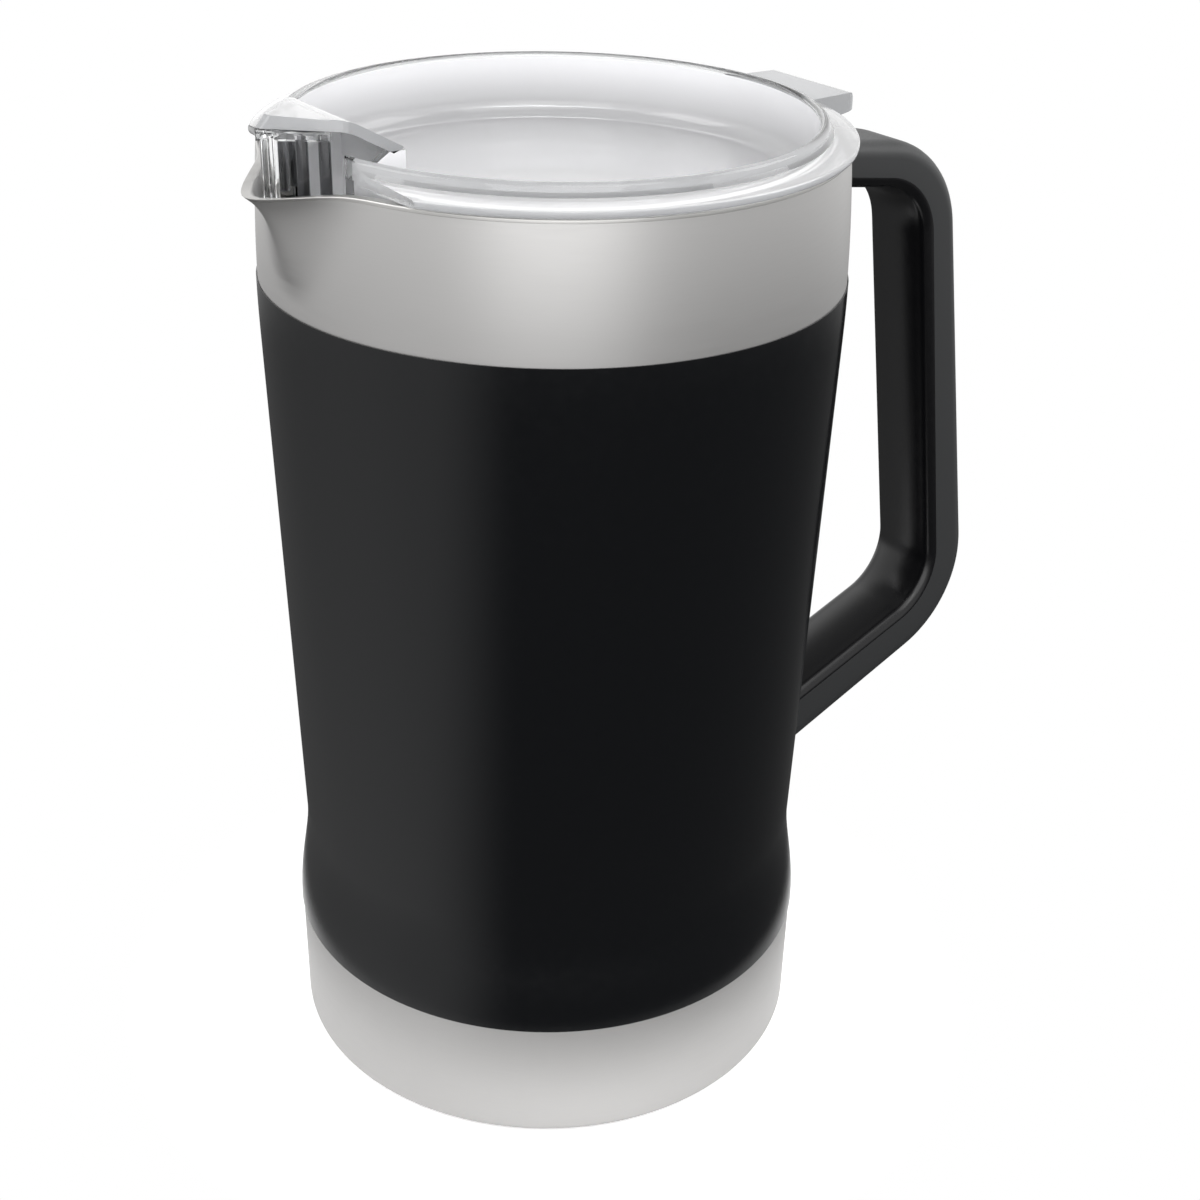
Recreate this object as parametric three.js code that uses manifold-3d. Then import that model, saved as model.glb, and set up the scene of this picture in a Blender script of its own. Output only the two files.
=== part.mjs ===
// Thermal jug: a double-walled steel jug with a formed spout, a clear lift-off lid and a side handle.
// Millimetres, +Z up. The origin is on the jug's axis at the floor. The handle points along +X
// and the spout along -X.
import * as THREE from 'three';
import { mergeVertices } from 'three/addons/utils/BufferGeometryUtils.js';
import Module from 'manifold-3d';

const wasm = await Module();
wasm.setup();

// Clearances
const seatGap = 0.3; // between pieces that seat on each other
const skinGap = 0.1; // between the coat and the shell

// Outer shell
const rimHeight = 231.4;
const shoulderRadius = 66.4;
const shoulderDrop = 41.7; // from the rim down to the top of the straight taper
const rimInset = 1.25; // how far the rim, the waist and the foot stand inside the shoulder
const waistInset = 4.15;
const footInset = 1.4;
const waistHeight = 59.7;
const footHeight = 32.7;
const footDraft = 0.3;
const cornerRadius = 2.2;
const standoff = 0.5; // steel above the floor, the pad carries the jug
const sheet = 0.8; // steel wall
const topBand = 29.7; // bare steel under the rim
const coatThickness = 0.2;

// Spout, pressed into the shell and the liner alike
const spoutReach = 10.85;
const spoutDepth = 23.2;
const spoutHalfAngle = THREE.MathUtils.degToRad(19.6);
const spoutFootWidth = 0.45; // share of that angle at the spout's foot
const spoutFlare = 0.4; // share of the reach that comes in the last rise
const spoutDip = 2.9;
const spoutNose = 0.2; // roundness of the tip
const spoutBlend = 0.39; // roundness where the sides leave the rim
const spoutPinch = 1.64; // how hollow the sides are

// Inner liner and the two bottoms
const lipHeight = 0.9;
const vacuumGap = 4.2;
const neckGap = 0.8; // what is left of it at the rim
const neckDrop = 15.7; // the liner has closed on the shell this far below the rim
const neckLength = 18;
const linerEnd = 14;
const linerBottomHeight = 9;
const linerLap = 10;
const linerCorner = 10;
const bottomFlange = 8.4; // the shell's turned-in edge
const bottomLap = 4;
const dimpleRadius = 6;
const dimpleRise = 1.6;
const pumpHole = 1;
const padMargin = 0.5;
const beadRadius = 4;
const beadHeight = 1.3;
const getterPlace = 24;
const getterRadius = 4.5;
const getterHeight = 2.2;
const clipStrip = 0.6;
const clipWidth = 6;
const clipFoot = 4.4;

// Lid
const flangeOverhang = 1.65;
const flangeThickness = 2.6;
const flangeFall = 0.9; // from the ridge's foot to the flange's edge
const flangeEdge = 0.6;
const ridgeRise = 2.6;
const plugClearance = 2.45;
const lidWall = 2.3;
const dishDepth = 12.6; // from the flange's top to the dish's floor
const dishFillet = 4;
const plugCorner = 2.5;
const gasketDrop = 4.6; // from the flange's underside to the gasket's top
const gasketHeight = 3.8;
const gasketGroove = 0.8;
const gasketFree = 0.3; // between the gasket's lips and the liner
const tabHalfWidth = 15;
const tabReach = 11.4;
const tabRoot = 1.2; // where the tab's underside starts, past the flange
const tabDrop = 5.4;
const tabRise = 1.4; // the underside rises to the tip
const tabRake = 2.4; // the tip leans out
const tabEdge = 1.2;
const tabTaper = 1.2;
const tabCorner = 4;
const bayHalfWidth = 10.5;
const bayWall = 2;
const bayDepth = 14.8; // how far the pour bay reaches into the dish
const hoodRise = 10; // the hood's roof above the flange
const hoodRoof = 2.4;
const hoodEndRise = 2.9; // the roof's inner end above the flange
const hoodEndDepth = 0.9; // the pointed end
const hoodBend = 1.9; // the roof's bend, inside the plug's radius
const hoodReach = 5.85; // the hood's nose past the rim
const hoodRake = 3.2; // the nose leans back
const hoodNose = 4;
const wallDip = 0.6; // the bay's sides at the plug, below the flange

// Ice guard
const ribWidth = 1.8;
const ribDepth = 2.2;
const ribsPerSide = 2;
const firstRib = 0.44; // share of the guard's side
const lastRib = 0.84;
const noseRib = 4.2; // width of the pillar at the nose
const guardRail = 2.2;
const guardSetback = 3.4; // behind the hood's edge
const guardDrop = 6; // below the rim

// Handle
const handleWidth = 21.6;
const upperThickness = 11.7; // at the upper root
const lowerThickness = 18; // at the lower root
const innerEdge = 2.7; // corner radius on the finger side
const outerEdge = 4.8;
const topRootDrop = 14.75; // the upper arm's centre below the rim, at the body
const knuckleReach = 45.05; // upper bend, from the shoulder's radius
const knuckleDrop = 20.85; // upper bend, below the rim
const knuckleRadius = 22;
const heelReach = 66.55; // lower bend, from the shoulder's radius
const heelHeight = 82.65;
const heelRadius = 22.3;
const lowRootHeight = 54.05;
const rootRise = 2.2; // the upper root's collar, on top
const rootFlare = 1.8; // and below
const rootLength = 4;
const coverThickness = 3.8; // the half shell on the finger side
const coverCrown = 1;
const crownRadius = 60;

// Brackets and screws
const tongueLength = 24;
const tongueWidth = 10;
const tongueThickness = 2.5;
const tongueLift = 1.5; // from the arm's centre, away from the fingers
const plateWidth = 14;
const plateHeight = 6;
const plateThickness = 2.5;
const screwRadius = 2;
const screwHead = 3.6;
const screwHeadHeight = 1.4;
const screwRecess = 0.2; // the heads lie under the cover
const screwPast = 1; // shank past the tongue
const socketRadius = 1.6;
const socketDepth = 0.8;
const upperScrews = [9, 18]; // places along the tongue
const lowerScrews = [14];

// Facets
const turnSteps = 46;
const turnBunching = 0.55; // gathers the steps of a turn towards the spout
const smallSteps = 16;
const arcSteps = 4;

// Derived levels and radii of the body
const rimRadius = shoulderRadius - rimInset;
const waistRadius = shoulderRadius - waistInset;
const footRadius = shoulderRadius - footInset;
const neckHeight = rimHeight - neckDrop;
const neckFoot = neckHeight - neckLength;
const shoulderHeight = rimHeight - shoulderDrop;
const taper = (shoulderRadius - waistRadius) / (shoulderHeight - waistHeight);
const crown = (shoulderRadius + taper * shoulderDrop - rimRadius) / shoulderDrop ** 2;
const shellTop = rimHeight - lipHeight - seatGap;
const coatTop = rimHeight - topBand;
const coatBottom = footHeight;
const spoutFoot = rimHeight - spoutDepth;
const cornerHeight = standoff + cornerRadius;

// The shell's outer radius at a height
function shellRadius(z) {
  if (z >= shoulderHeight) {
    const rise = z - shoulderHeight;
    return shoulderRadius + taper * rise - crown * rise ** 2;
  }
  if (z >= waistHeight) {
    return waistRadius + taper * (z - waistHeight);
  }
  if (z >= footHeight) {
    const share = (z - footHeight) / (waistHeight - footHeight);
    return waistRadius + ((footRadius - waistRadius) * (1 + Math.cos(Math.PI * share))) / 2;
  }
  return footRadius - (footDraft * (footHeight - z)) / footHeight;
}

// The liner's outer radius: a vacuum gap inside the shell, straight below the waist, closing at the neck
function linerRadius(z) {
  const share = THREE.MathUtils.smoothstep(z, neckFoot, neckHeight);
  return shellRadius(Math.max(z, waistHeight)) - sheet - THREE.MathUtils.lerp(vacuumGap, neckGap, share);
}

// How far the spout pushes a wall out and down, at an angle from the spout's middle
function spoutShift(angle, z) {
  const rise = THREE.MathUtils.clamp((z - spoutFoot) / spoutDepth, 0, 1);
  const half = spoutHalfAngle * THREE.MathUtils.lerp(spoutFootWidth, 1, rise);
  const nose = Math.hypot(angle / half, spoutNose) - spoutNose;
  const side = 1 - nose / (Math.hypot(1, spoutNose) - spoutNose);
  let share = Math.max(side, 0);
  if (Math.abs(side) < spoutBlend) {
    share = (side + spoutBlend) ** 2 / (4 * spoutBlend);
  }
  share **= spoutPinch;
  const keel = (1 - spoutFlare) * rise + spoutFlare * rise ** 5;
  return { out: spoutReach * keel * share, down: spoutDip * rise ** 2 * share };
}

// A geometry with shared vertices and no flat triangles
function weld(geometry) {
  geometry.deleteAttribute('normal');
  geometry.deleteAttribute('uv');
  const merged = mergeVertices(geometry);
  const index = merged.index.array;
  const kept = [];
  for (let i = 0; i < index.length; i += 3) {
    const [a, b, c] = index.slice(i, i + 3);
    if (a !== b && b !== c && c !== a) {
      kept.push(a, b, c);
    }
  }
  merged.setIndex(kept);
  return merged;
}

// A closed geometry as a solid that can be joined and cut
function solid(geometry) {
  const merged = weld(geometry.clone());
  const vertProperties = new Float32Array(merged.attributes.position.array);
  const triVerts = new Uint32Array(merged.index.array);
  return new wasm.Manifold(new wasm.Mesh({ numProp: 3, vertProperties, triVerts }));
}

function geometryOf(manifold) {
  const mesh = manifold.getMesh();
  const geometry = new THREE.BufferGeometry();
  geometry.setAttribute('position', new THREE.Float32BufferAttribute(mesh.vertProperties, 3));
  geometry.setIndex(Array.from(mesh.triVerts));
  return geometry;
}

function cut(body, ...tools) {
  return tools.reduce((left, tool) => left.subtract(tool), body);
}

function join(body, ...others) {
  return others.reduce((whole, other) => whole.add(other), body);
}

// Evenly spaced heights, both ends included
function heights(from, to, count) {
  return Array.from({ length: count }, (_, i) => from + ((to - from) * i) / (count - 1));
}

// Points [r, z] of an arc about a centre, angles in degrees
function arc(r, z, radius, from, to, steps = arcSteps) {
  return heights(from, to, steps + 1).map((degrees) => {
    const angle = THREE.MathUtils.degToRad(degrees);
    return [r + radius * Math.cos(angle), z + radius * Math.sin(angle)];
  });
}

// Points of an outline whose corners [x, y, radius] are rounded by arcs
function rounded(corners, { closed = true, steps = arcSteps } = {}) {
  const count = corners.length;
  return corners.flatMap(([x, y, radius], i) => {
    const here = new THREE.Vector2(x, y);
    const atEnd = !closed && (i === 0 || i === count - 1);
    if (!radius || atEnd) {
      return [here];
    }
    const [bx, by] = corners[(i + count - 1) % count];
    const [ax, ay] = corners[(i + 1) % count];
    const before = new THREE.Vector2(bx, by).sub(here).normalize();
    const after = new THREE.Vector2(ax, ay).sub(here).normalize();
    const half = Math.acos(before.dot(after)) / 2;
    const bisector = before.clone().add(after).normalize();
    const centre = here.clone().addScaledVector(bisector, radius / Math.sin(half));
    const start = here.clone().addScaledVector(before, radius / Math.tan(half)).sub(centre);
    const end = here.clone().addScaledVector(after, radius / Math.tan(half)).sub(centre);
    const sweep = Math.atan2(start.cross(end), start.dot(end));
    return heights(0, sweep, steps + 1).map((turn) => {
      return start.clone().rotateAround(new THREE.Vector2(), turn).add(centre);
    });
  });
}

// A turned piece from a counter-clockwise profile of [r, z], its steps gathered at the spout
function turned(profile, { closed = true, formed = false } = {}) {
  const points = profile.map(([r, z]) => new THREE.Vector2(r, z));
  if (closed) {
    points.push(points[0].clone());
  }
  const geometry = new THREE.LatheGeometry(points, turnSteps);
  geometry.rotateX(Math.PI / 2);
  geometry.rotateZ(-Math.PI / 2);
  const place = geometry.attributes.position;
  for (let i = 0; i < place.count; i += 1) {
    const turn = Math.atan2(-place.getY(i), -place.getX(i));
    const angle = turn - turnBunching * Math.sin(turn);
    const shift = formed ? spoutShift(angle, place.getZ(i)) : { out: 0, down: 0 };
    const r = Math.hypot(place.getX(i), place.getY(i)) + shift.out;
    place.setXYZ(i, -r * Math.cos(angle), -r * Math.sin(angle), place.getZ(i) - shift.down);
  }
  return weld(geometry);
}

// A small turned piece about its own axis, from a profile that starts and ends on the axis
function spindle(profile) {
  const points = profile.map(([r, z]) => new THREE.Vector2(r, z));
  return weld(new THREE.LatheGeometry(points, smallSteps).rotateX(Math.PI / 2));
}

// A side outline of Vector2(x, z), extruded across the jug by a width about y
function crosswise(outline, width, y = 0) {
  const shape = new THREE.Shape(outline);
  const geometry = new THREE.ExtrudeGeometry(shape, { depth: width, bevelEnabled: false });
  return geometry.rotateX(Math.PI / 2).translate(0, y + width / 2, 0);
}

// A plan outline of Vector2(x, y), extruded from one height to another
function upright(outline, low, high) {
  const shape = new THREE.Shape(outline);
  const geometry = new THREE.ExtrudeGeometry(shape, { depth: high - low, bevelEnabled: false });
  return geometry.translate(0, 0, low);
}

// A box between two corners
function block([x0, y0, z0], [x1, y1, z1]) {
  const geometry = new THREE.BoxGeometry(x1 - x0, y1 - y0, z1 - z0);
  return geometry.translate((x0 + x1) / 2, (y0 + y1) / 2, (z0 + z1) / 2);
}

const points2 = (list) => list.map(([x, y]) => new THREE.Vector2(x, y));

// Materials
const steelSatin = { color: 0xb9b9b8, roughness: 0.32, metalness: 1 };
const steelInner = { color: 0xc4c4c2, roughness: 0.28, metalness: 1 };
const coatBlack = { color: 0x121315, roughness: 0.16, metalness: 0 };
const handleBlack = { color: 0x2a2b2c, roughness: 0.5, metalness: 0 };
const clear = { color: 0xf2f4f4, roughness: 0.05, metalness: 0, transparent: true, opacity: 0.3 };
const silicone = { color: 0xe8e8e4, roughness: 0.6, metalness: 0, transparent: true, opacity: 0.7 };
const rubber = { color: 0x1b1b1b, roughness: 0.8, metalness: 0 };
const screwSteel = { color: 0x9c9c9a, roughness: 0.35, metalness: 1 };
const getterMetal = { color: 0x6f6f6c, roughness: 0.6, metalness: 1 };
const solder = { color: 0x8a8d88, roughness: 0.4, metalness: 0.2 };

const jug = new THREE.Group();

function place(name, geometry, look) {
  const mesh = new THREE.Mesh(geometry, new THREE.MeshStandardMaterial(look));
  mesh.name = name;
  jug.add(mesh);
}

// Outer shell: foot, waist, straight taper and crown, with the spout pressed out at the rim
const spoutLevels = heights(spoutFoot, shellTop, 6);
const waistLevels = heights(footHeight, waistHeight, 5);
const cornerCentre = shellRadius(cornerHeight) - cornerRadius;
const bottomOpening = cornerCentre - bottomFlange;
const outerLevels = [...waistLevels, shoulderHeight, ...spoutLevels];
const innerLevels = [footHeight, (footHeight + waistHeight) / 2, waistHeight, shoulderHeight, ...spoutLevels];
const shellProfile = [
  [bottomOpening, standoff],
  ...arc(cornerCentre, cornerHeight, cornerRadius, -90, 0),
  ...outerLevels.map((z) => [shellRadius(z), z]),
  ...innerLevels.reverse().map((z) => [shellRadius(z) - sheet, z]),
  ...arc(cornerCentre, cornerHeight, cornerRadius - sheet, 0, -90),
  [bottomOpening, standoff + sheet],
];
place('outer_shell', turned(shellProfile, { formed: true }), steelSatin);

// A solid of everything inside the body's outside, used to fit what is mounted on it
function bodyEnvelope(gap) {
  const levels = [coatBottom, ...waistLevels.slice(1), shoulderHeight, spoutFoot, shellTop];
  const outside = levels.map((z) => [shellRadius(z) + gap, z]);
  return solid(turned([[0, coatBottom], ...outside, [0, shellTop]], { closed: false }));
}

// Handle: the centreline of its bow in the XZ plane, from the upper root to the lower one
const rootInside = 6; // the bow starts inside the body and is trimmed to it
const topRootHeight = rimHeight - topRootDrop;
const knuckle = [shoulderRadius + knuckleReach, rimHeight - knuckleDrop];
const heel = [shoulderRadius + heelReach, heelHeight];
const upperRoot = [shellRadius(topRootHeight), topRootHeight];
const lowerRoot = [shellRadius(lowRootHeight), lowRootHeight];

// A point on the line from one place through another, a distance before the first
function behind([x, z], [tx, tz], distance) {
  const length = Math.hypot(tx - x, tz - z);
  return [x - ((tx - x) * distance) / length, z - ((tz - z) * distance) / length];
}

const bow = rounded(
  [
    behind(upperRoot, knuckle, rootInside),
    behind(upperRoot, knuckle, -coatThickness),
    behind(upperRoot, knuckle, -rootLength),
    [...knuckle, knuckleRadius],
    [...heel, heelRadius],
    behind(lowerRoot, heel, rootInside),
  ],
  { closed: false, steps: 8 },
);
const lastPoint = bow.length - 1;
const reaches = bow.map((point, i) => (i ? point.distanceTo(bow[i - 1]) : 0));
const travel = reaches.map((_, i) => reaches.slice(0, i + 1).reduce((sum, step) => sum + step, 0));

// Half the handle's thickness at a point of the bow
function halfThickness(i) {
  return THREE.MathUtils.lerp(upperThickness, lowerThickness, travel[i] / travel[lastPoint]) / 2;
}

// The sections in [across, outward]: the spine, and the half shell on its finger side
function spineSection(i) {
  const half = handleWidth / 2;
  const rise = halfThickness(i) + (i < 2 ? rootRise : 0);
  const face = -halfThickness(i) + coverThickness + seatGap;
  return rounded([[half, face, 0], [half, rise, outerEdge], [-half, rise, outerEdge], [-half, face, 0]], { steps: 3 });
}

function coverSection(i) {
  const half = handleWidth / 2;
  const face = -halfThickness(i) - (i < 2 ? rootFlare : 0);
  const edge = face + coverCrown;
  const back = -halfThickness(i) + coverThickness;
  return rounded(
    [[half, edge, innerEdge], [half, back, 0], [-half, back, 0], [-half, edge, innerEdge], [0, face, crownRadius]],
    { steps: 3 },
  );
}

// A loft of sections along points of the bow
function alongBow(sectionAt) {
  const vertices = [];
  const index = [];
  let count = 0;
  for (let i = 0; i <= lastPoint; i += 1) {
    const back = bow[i].clone().sub(bow[Math.max(i - 1, 0)]).normalize();
    const ahead = bow[Math.min(i + 1, lastPoint)].clone().sub(bow[i]).normalize();
    const along = back.add(ahead).normalize();
    const section = sectionAt(i);
    count = section.length;
    section.forEach((point) => {
      vertices.push(bow[i].x - along.y * point.y, point.x, bow[i].y + along.x * point.y);
    });
  }
  for (let ring = 0; ring < lastPoint; ring += 1) {
    for (let j = 0; j < count; j += 1) {
      const a = ring * count + j;
      const b = ring * count + ((j + 1) % count);
      index.push(a, b, a + count, b, b + count, a + count);
    }
  }
  for (let j = 1; j < count - 1; j += 1) {
    const end = lastPoint * count;
    index.push(0, j + 1, j, end, end + j, end + j + 1);
  }
  const geometry = new THREE.BufferGeometry();
  geometry.setAttribute('position', new THREE.Float32BufferAttribute(vertices, 3));
  geometry.setIndex(index);
  return geometry;
}

// An arm's own frame at its tongue: along the arm, across, and away from the fingers
function armFrame([x, z], [tx, tz], side) {
  const along = new THREE.Vector3(tx - x, 0, tz - z).normalize();
  const across = new THREE.Vector3(0, side, 0);
  const outward = new THREE.Vector3().crossVectors(along, across);
  const foot = new THREE.Vector3(x, 0, z).addScaledVector(outward, tongueLift);
  return new THREE.Matrix4().makeBasis(along, across, outward).setPosition(foot);
}

// A bracket: a plate on the shell with a tongue that runs inside the handle's arm
function bracketSolid(frame, gap) {
  const foot = new THREE.Vector3().setFromMatrixPosition(frame);
  const plate = block(
    [foot.x - rootInside, -plateWidth / 2 - gap, foot.z - plateHeight / 2 - gap],
    [foot.x + plateThickness + gap, plateWidth / 2 + gap, foot.z + plateHeight / 2 + gap],
  );
  const tongue = block(
    [-rootInside / 2, -tongueWidth / 2 - gap, -tongueThickness / 2 - gap],
    [tongueLength + gap, tongueWidth / 2 + gap, tongueThickness / 2 + gap],
  );
  return join(solid(plate), solid(tongue.applyMatrix4(frame)));
}

// A screw from under the cover into the tongue, and the hole that it goes in
const screwEnd = tongueThickness / 2 + screwPast;

function screwGeometry({ frame, face }, along) {
  const low = face + screwRecess;
  const under = low + screwHeadHeight;
  const profile = [
    [0, low + socketDepth],
    [socketRadius, low + socketDepth],
    [socketRadius, low],
    [screwHead, low],
    [screwHead, under],
    [screwRadius, under],
    [screwRadius, screwEnd],
    [0, screwEnd],
  ];
  return spindle(profile).translate(along, 0, 0).applyMatrix4(frame);
}

function screwHole({ frame, face }, along) {
  const seat = face + screwRecess + screwHeadHeight + seatGap;
  const outside = face - coverThickness;
  const profile = [
    [0, outside],
    [screwHead + seatGap, outside],
    [screwHead + seatGap, seat],
    [screwRadius + seatGap, seat],
    [screwRadius + seatGap, screwEnd + seatGap],
    [0, screwEnd + seatGap],
  ];
  return solid(spindle(profile).translate(along, 0, 0).applyMatrix4(frame));
}

// The spine's face under the cover, in an arm's frame
const armFace = (thickness) => -thickness / 2 + coverThickness + seatGap - tongueLift;
const arms = [
  {
    name: 'upper',
    frame: armFrame(upperRoot, knuckle, 1),
    face: armFace(upperThickness),
    screws: upperScrews,
    labels: ['_front', '_rear'],
  },
  {
    name: 'lower',
    frame: armFrame(lowerRoot, heel, -1),
    face: armFace(lowerThickness),
    screws: lowerScrews,
    labels: [''],
  },
];
const [, lowerArm] = arms;

// The spine: the bow's outer part, trimmed to the body, with the pockets that it needs
const coatSpare = skinGap + coatThickness + seatGap;
const holes = arms.flatMap((arm) => arm.screws.map((along) => screwHole(arm, along)));
const pockets = arms.map((arm) => bracketSolid(arm.frame, seatGap));
const spine = cut(solid(alongBow(spineSection)), bodyEnvelope(coatSpare), ...pockets, ...holes);
place('handle_spine', geometryOf(spine), handleBlack);

// The cover on the finger side, from root to root, over the screws
const cover = cut(solid(alongBow(coverSection)), bodyEnvelope(coatSpare));
place('handle_cover', geometryOf(cover), handleBlack);

arms.forEach((arm) => {
  const drilled = arm.screws.map((along) => screwHole(arm, along));
  const bracket = cut(bracketSolid(arm.frame, 0), bodyEnvelope(seatGap), ...drilled);
  place(`${arm.name}_bracket`, geometryOf(bracket), steelSatin);
  arm.screws.forEach((along, i) => {
    place(`${arm.name}_screw${arm.labels[i]}`, screwGeometry(arm, along), screwSteel);
  });
});

// Powder coat: a skin on the shell between the bare bands, open where the lower bracket is welded
const coatLevels = [...waistLevels, shoulderHeight, coatTop];
const coatProfile = [
  ...coatLevels.map((z) => [shellRadius(z) + skinGap + coatThickness, z]),
  ...coatLevels.reverse().map((z) => [shellRadius(z) + skinGap, z]),
];
const coat = cut(solid(turned(coatProfile)), bracketSolid(lowerArm.frame, seatGap));
place('powder_coat', geometryOf(coat), coatBlack);

// Inner liner: its lip rolls over the shell's top edge and its neck closes on the shell
const lipBottom = rimHeight - lipHeight;
const linerLevels = [linerEnd, waistHeight, shoulderHeight, neckFoot, ...spoutLevels, lipBottom];
const lipEdge = lipHeight / 3;
const linerProfile = [
  ...linerLevels.map((z) => [linerRadius(z), z]),
  [rimRadius, lipBottom],
  [rimRadius, rimHeight - lipEdge],
  [rimRadius - lipEdge, rimHeight],
  [linerRadius(rimHeight) - sheet, rimHeight],
  ...linerLevels.reverse().map((z) => [linerRadius(z) - sheet, z]),
];
place('inner_liner', turned(linerProfile, { formed: true }), steelInner);

// Liner bottom: a pressed cup, lapped inside the liner's lower end
const lapTop = linerEnd + linerLap;
const cupCentre = linerBottomHeight + linerCorner;
const cupRadius = (z) => linerRadius(z) - sheet - seatGap;
const cupCorner = cupRadius(lapTop) - linerCorner;
const cupProfile = [
  [0, linerBottomHeight],
  ...arc(cupCorner, cupCentre, linerCorner, -90, 0, 3),
  [cupRadius(lapTop), lapTop],
  [cupRadius(lapTop) - sheet, lapTop],
  ...arc(cupCorner, cupCentre, linerCorner - sheet, 0, -90, 3),
  [0, linerBottomHeight + sheet],
];
place('liner_bottom', turned(cupProfile, { closed: false }), steelInner);

// Outer bottom: a pressed disc that closes the shell, with the pump-out hole in its dimple
const discLow = standoff + sheet + seatGap;
const discHigh = discLow + sheet;
const discProfile = [
  [pumpHole, discLow + dimpleRise],
  [dimpleRadius, discLow + dimpleRise],
  [dimpleRadius + dimpleRise, discLow],
  [bottomOpening + bottomLap, discLow],
  [bottomOpening + bottomLap, discHigh],
  [dimpleRadius + dimpleRise, discHigh],
  [dimpleRadius, discHigh + dimpleRise],
  [pumpHole, discHigh + dimpleRise],
];
place('outer_bottom', turned(discProfile), steelInner);

// Rubber pad on the underside, which the jug stands on
const padTop = discLow - seatGap;
const padRadius = bottomOpening - padMargin;
const padProfile = [
  [0, 0],
  [padRadius - padMargin, 0],
  [padRadius, padMargin],
  [padRadius, padTop],
  [0, padTop],
];
place('base_pad', turned(padProfile, { closed: false }), rubber);

// Solder bead under the pump-out hole
const beadLow = discLow + dimpleRise - seatGap - beadHeight;
const beadProfile = [
  [0, beadLow],
  [beadRadius * 0.7, beadLow],
  [beadRadius, beadLow + beadHeight / 2],
  [beadRadius * 0.7, beadLow + beadHeight],
  [0, beadLow + beadHeight],
];
place('seal_bead', spindle(beadProfile), solder);

// Getter pill and the strap that holds it on the outer bottom
const pillLow = discHigh + seatGap;
const pillHigh = pillLow + getterHeight;
const pillProfile = [
  [0, pillLow],
  [getterRadius, pillLow],
  [getterRadius, pillHigh],
  [0, pillHigh],
];
place('getter', spindle(pillProfile).translate(getterPlace, 0, 0), getterMetal);
const clipInside = getterRadius + seatGap;
const clipOutside = clipInside + clipStrip;
const clipReach = clipOutside + clipFoot;
const clipSide = [
  [clipReach, pillLow],
  [clipReach, pillLow + clipStrip],
  [clipOutside, pillLow + clipStrip],
  [clipOutside, pillHigh + seatGap + clipStrip],
];
const clipUnder = [
  [clipInside, pillHigh + seatGap],
  [clipInside, pillLow],
];
const mirrored = (list) => list.map(([x, z]) => [-x, z]).reverse();
const clipOutline = [...clipSide, ...mirrored(clipSide), ...mirrored(clipUnder), ...clipUnder];
const clip = crosswise(points2(clipOutline), clipWidth).translate(getterPlace, 0, 0);
place('getter_clip', weld(clip), steelInner);

// Lid: rim flange, ridge, dish and plug in one turning
const flangeLow = rimHeight + seatGap;
const flangeHigh = flangeLow + flangeThickness;
const flangeRadius = rimRadius + flangeOverhang;
const ridgeTop = flangeHigh + ridgeRise;
const plugRadius = linerRadius(rimHeight) - sheet - plugClearance;
const dishFloor = flangeHigh - dishDepth;
const dishUnder = dishFloor - lidWall;
const gasketTop = flangeLow - gasketDrop;
const gasketBottom = gasketTop - gasketHeight;
const grooveRadius = plugRadius - gasketGroove;
const ridgeEdge = lidWall / 3;
const lidProfile = [
  [0, dishUnder],
  ...arc(plugRadius - plugCorner, dishUnder + plugCorner, plugCorner, -90, 0, 3),
  [plugRadius, gasketBottom - seatGap],
  [grooveRadius, gasketBottom - seatGap],
  [grooveRadius, gasketTop + seatGap],
  [plugRadius, gasketTop + seatGap],
  [plugRadius, flangeLow],
  [flangeRadius - flangeEdge, flangeLow],
  ...arc(flangeRadius - flangeEdge, flangeLow + flangeEdge, flangeEdge, -45, 0, 1),
  ...arc(flangeRadius - flangeEdge, flangeHigh - flangeFall - flangeEdge, flangeEdge, 0, 90, 2),
  [plugRadius, flangeHigh],
  [plugRadius, ridgeTop - ridgeEdge],
  [plugRadius - ridgeEdge, ridgeTop],
  [plugRadius - lidWall + ridgeEdge, ridgeTop],
  [plugRadius - lidWall, ridgeTop - ridgeEdge],
  ...arc(plugRadius - lidWall - dishFillet, dishFloor + dishFillet, dishFillet, 0, -90),
  [0, dishFloor],
];
const lidTurned = solid(turned(lidProfile, { closed: false }));

// Pour bay: the dish is cut back over the spout, and walled off from the opening
const bayEnd = -(plugRadius - bayDepth);
const hoodBendX = -(plugRadius - hoodBend);
const hoodTip = -(rimRadius + hoodReach);
const hoodTop = flangeHigh + hoodRise;
const hoodEndTop = flangeHigh + hoodEndRise;
const baySide = bayHalfWidth + bayWall;
const bayOpening = block(
  [hoodTip - hoodNose, -bayHalfWidth, dishUnder - lidWall],
  [bayEnd - bayWall, bayHalfWidth, hoodTop + lidWall],
);
const roofSlope = (hoodTop - hoodEndTop) / (bayEnd - hoodBendX);
const roofEndLow = hoodEndTop - hoodEndDepth;
const roofEndX = bayEnd - (hoodRoof - hoodEndDepth) / roofSlope;
const roofOutline = points2([
  [roofEndX, roofEndLow],
  [bayEnd, hoodEndTop],
  [hoodBendX, hoodTop],
  [hoodTip + hoodRake, hoodTop],
  [hoodTip, hoodTop - hoodRoof],
  [hoodBendX, hoodTop - hoodRoof],
]);
const noseOutline = rounded([
  [bayEnd, -baySide, 0],
  [bayEnd, baySide, 0],
  [hoodBendX, baySide, bayWall],
  [hoodTip, 0, hoodNose],
  [hoodBendX, -baySide, bayWall],
]);
const nosePrism = solid(upright(noseOutline, dishUnder, hoodTop + lidWall));
const roof = solid(crosswise(roofOutline, baySide * 2)).intersect(nosePrism);
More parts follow.
